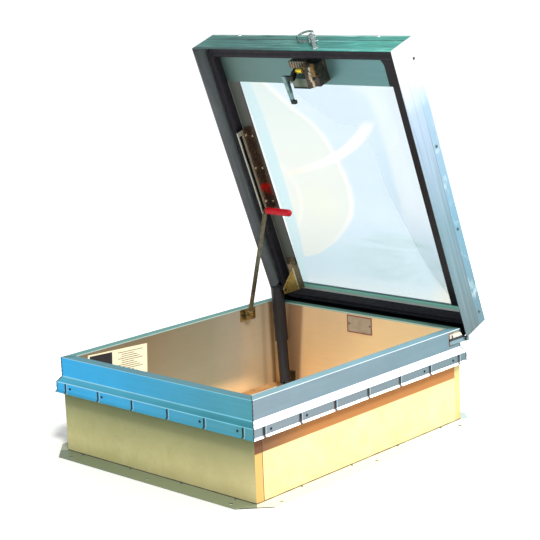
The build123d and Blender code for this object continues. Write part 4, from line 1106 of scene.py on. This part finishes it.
# plate on the rear wall: raised plain border and two rivets
bm = bmesh.new()
for x0, x1, z0, z1 in ((-33, 74, 296, 300), (-33, 74, 240, 244), (-33, -29, 244, 296), (70, 74, 244, 296)):
    add_box(bm, x0, x1, 449.4, 450.2, z0, z1, 0.25)
make("plate_border", bm, m_plate_red, "curb", None, 30)
bm = bmesh.new()
for x in (-24, 65):
    add_pan(bm, (x, 450.1, 270), (0, -1, 0), 3.0, 1.6, recess=False)
make("plate_rivets", bm, m_screw, "curb", None, 30)

# bolts
bm = bmesh.new()
for y, z, y2, x2 in ((-150, 319, -139, -341), (-24, 317, -16, -342), (103, 314, 114, -342)):
    add_hex(bm, (-355.0, y, z), (1, 0, 0), 5.4, 3.2, 0.4)
    add_pan(bm, (x2, y2, 335.0), (0, 0, -1), 4.6, 2.6, recess=False)
make("track_bolts", bm, m_bolt_bright, "cover", M_OPEN, 30)
bm = bmesh.new()
add_hex(bm, (-346.0, 309, 290), (1, 0, 0), 6.5, 4.0, 0.3)
for y in (292, 348):
    add_hex(bm, (-372.0, y, 292), (1, 0, 0), 4.5, 2.6, 0.2)
    add_hex(bm, (-372.0, y, 272), (1, 0, 0), 4.5, 2.6, 0.5)
make("arm_bracket_bolts", bm, m_gold, "curb", None, 30)

# ---------------------------------------------------------------- floor, light, camera
me = bpy.data.meshes.new("floor")
b = bmesh.new()
bmesh.ops.create_grid(b, x_segments=4, y_segments=4, size=160.0)
b.to_mesh(me)
b.free()
floor = bpy.data.objects.new("floor", me)
floor.location = (0, 0, -0.0004)
bpy.context.scene.collection.objects.link(floor)
nb = NB("floor_white")
fn = nb.noise(nb.obj(), 1.2, 2.0, 0.5)
nb.set("Base Color", nb.mix(fn, lin(250, 250, 250), lin(246, 247, 248)))
nb.set("Roughness", 0.9)
nb.set("Specular IOR Level", 0.1)
me.materials.append(nb.m)

w = bpy.data.worlds.new("studio")
bpy.context.scene.world = w
w.use_nodes = True
w.node_tree.nodes["Background"].inputs["Color"].default_value = (0.95, 0.975, 1.0, 1)
w.node_tree.nodes["Background"].inputs["Strength"].default_value = 0.62


def light(kind, name, loc, target, energy, color=(1, 1, 1), size=1.0, size_y=None, angle=None):
    d = bpy.data.lights.new(name, kind)
    d.energy = energy
    d.color = color
    if kind == "AREA":
        d.shape = "RECTANGLE"
        d.size = size
        d.size_y = size_y or size
    if kind == "SUN" and angle:
        d.angle = math.radians(angle)
    o = bpy.data.objects.new(name, d)
    o.location = loc
    o.rotation_mode = "QUATERNION"
    o.rotation_quaternion = (Vector(target) - Vector(loc)).to_track_quat("-Z", "Y")
    bpy.context.scene.collection.objects.link(o)
    return o


light("SUN", "key", (2.2, -1.3, 3.0), (0, 0, 0), 2.4, (1.0, 0.97, 0.92), angle=9)
light("AREA", "back_right_box", (1.7, 3.5, 3.1), (0.3, 0, 0.4), 210, (1, 1, 1), 2.4, 1.6)

cam = bpy.data.cameras.new("photo_camera")
cam.lens = 100.988
cam.sensor_width = 36.0
cam.sensor_fit = "AUTO"
cam.clip_start = 0.05
cam.clip_end = 400
co = bpy.data.objects.new("photo_camera", cam)
right = Vector((0.7341339678520193, 0.6776989379547342, -0.042088795906696286))
down = Vector((0.10775342292641854, -0.17747856883256152, -0.9782078293761433))
fwd = Vector((-0.6704002663286244, 0.7136003833380212, -0.20331742622396742))
co.matrix_world = Matrix((
    (right.x, -down.x, -fwd.x, 3.19540347582),
    (right.y, -down.y, -fwd.y, -3.35667489023),
    (right.z, -down.z, -fwd.z, 1.49924269389),
    (0, 0, 0, 1)))
bpy.context.scene.collection.objects.link(co)
bpy.context.scene.camera = co
bpy.context.scene.view_settings.view_transform = "Standard"
bpy.context.scene.view_settings.look = "None"
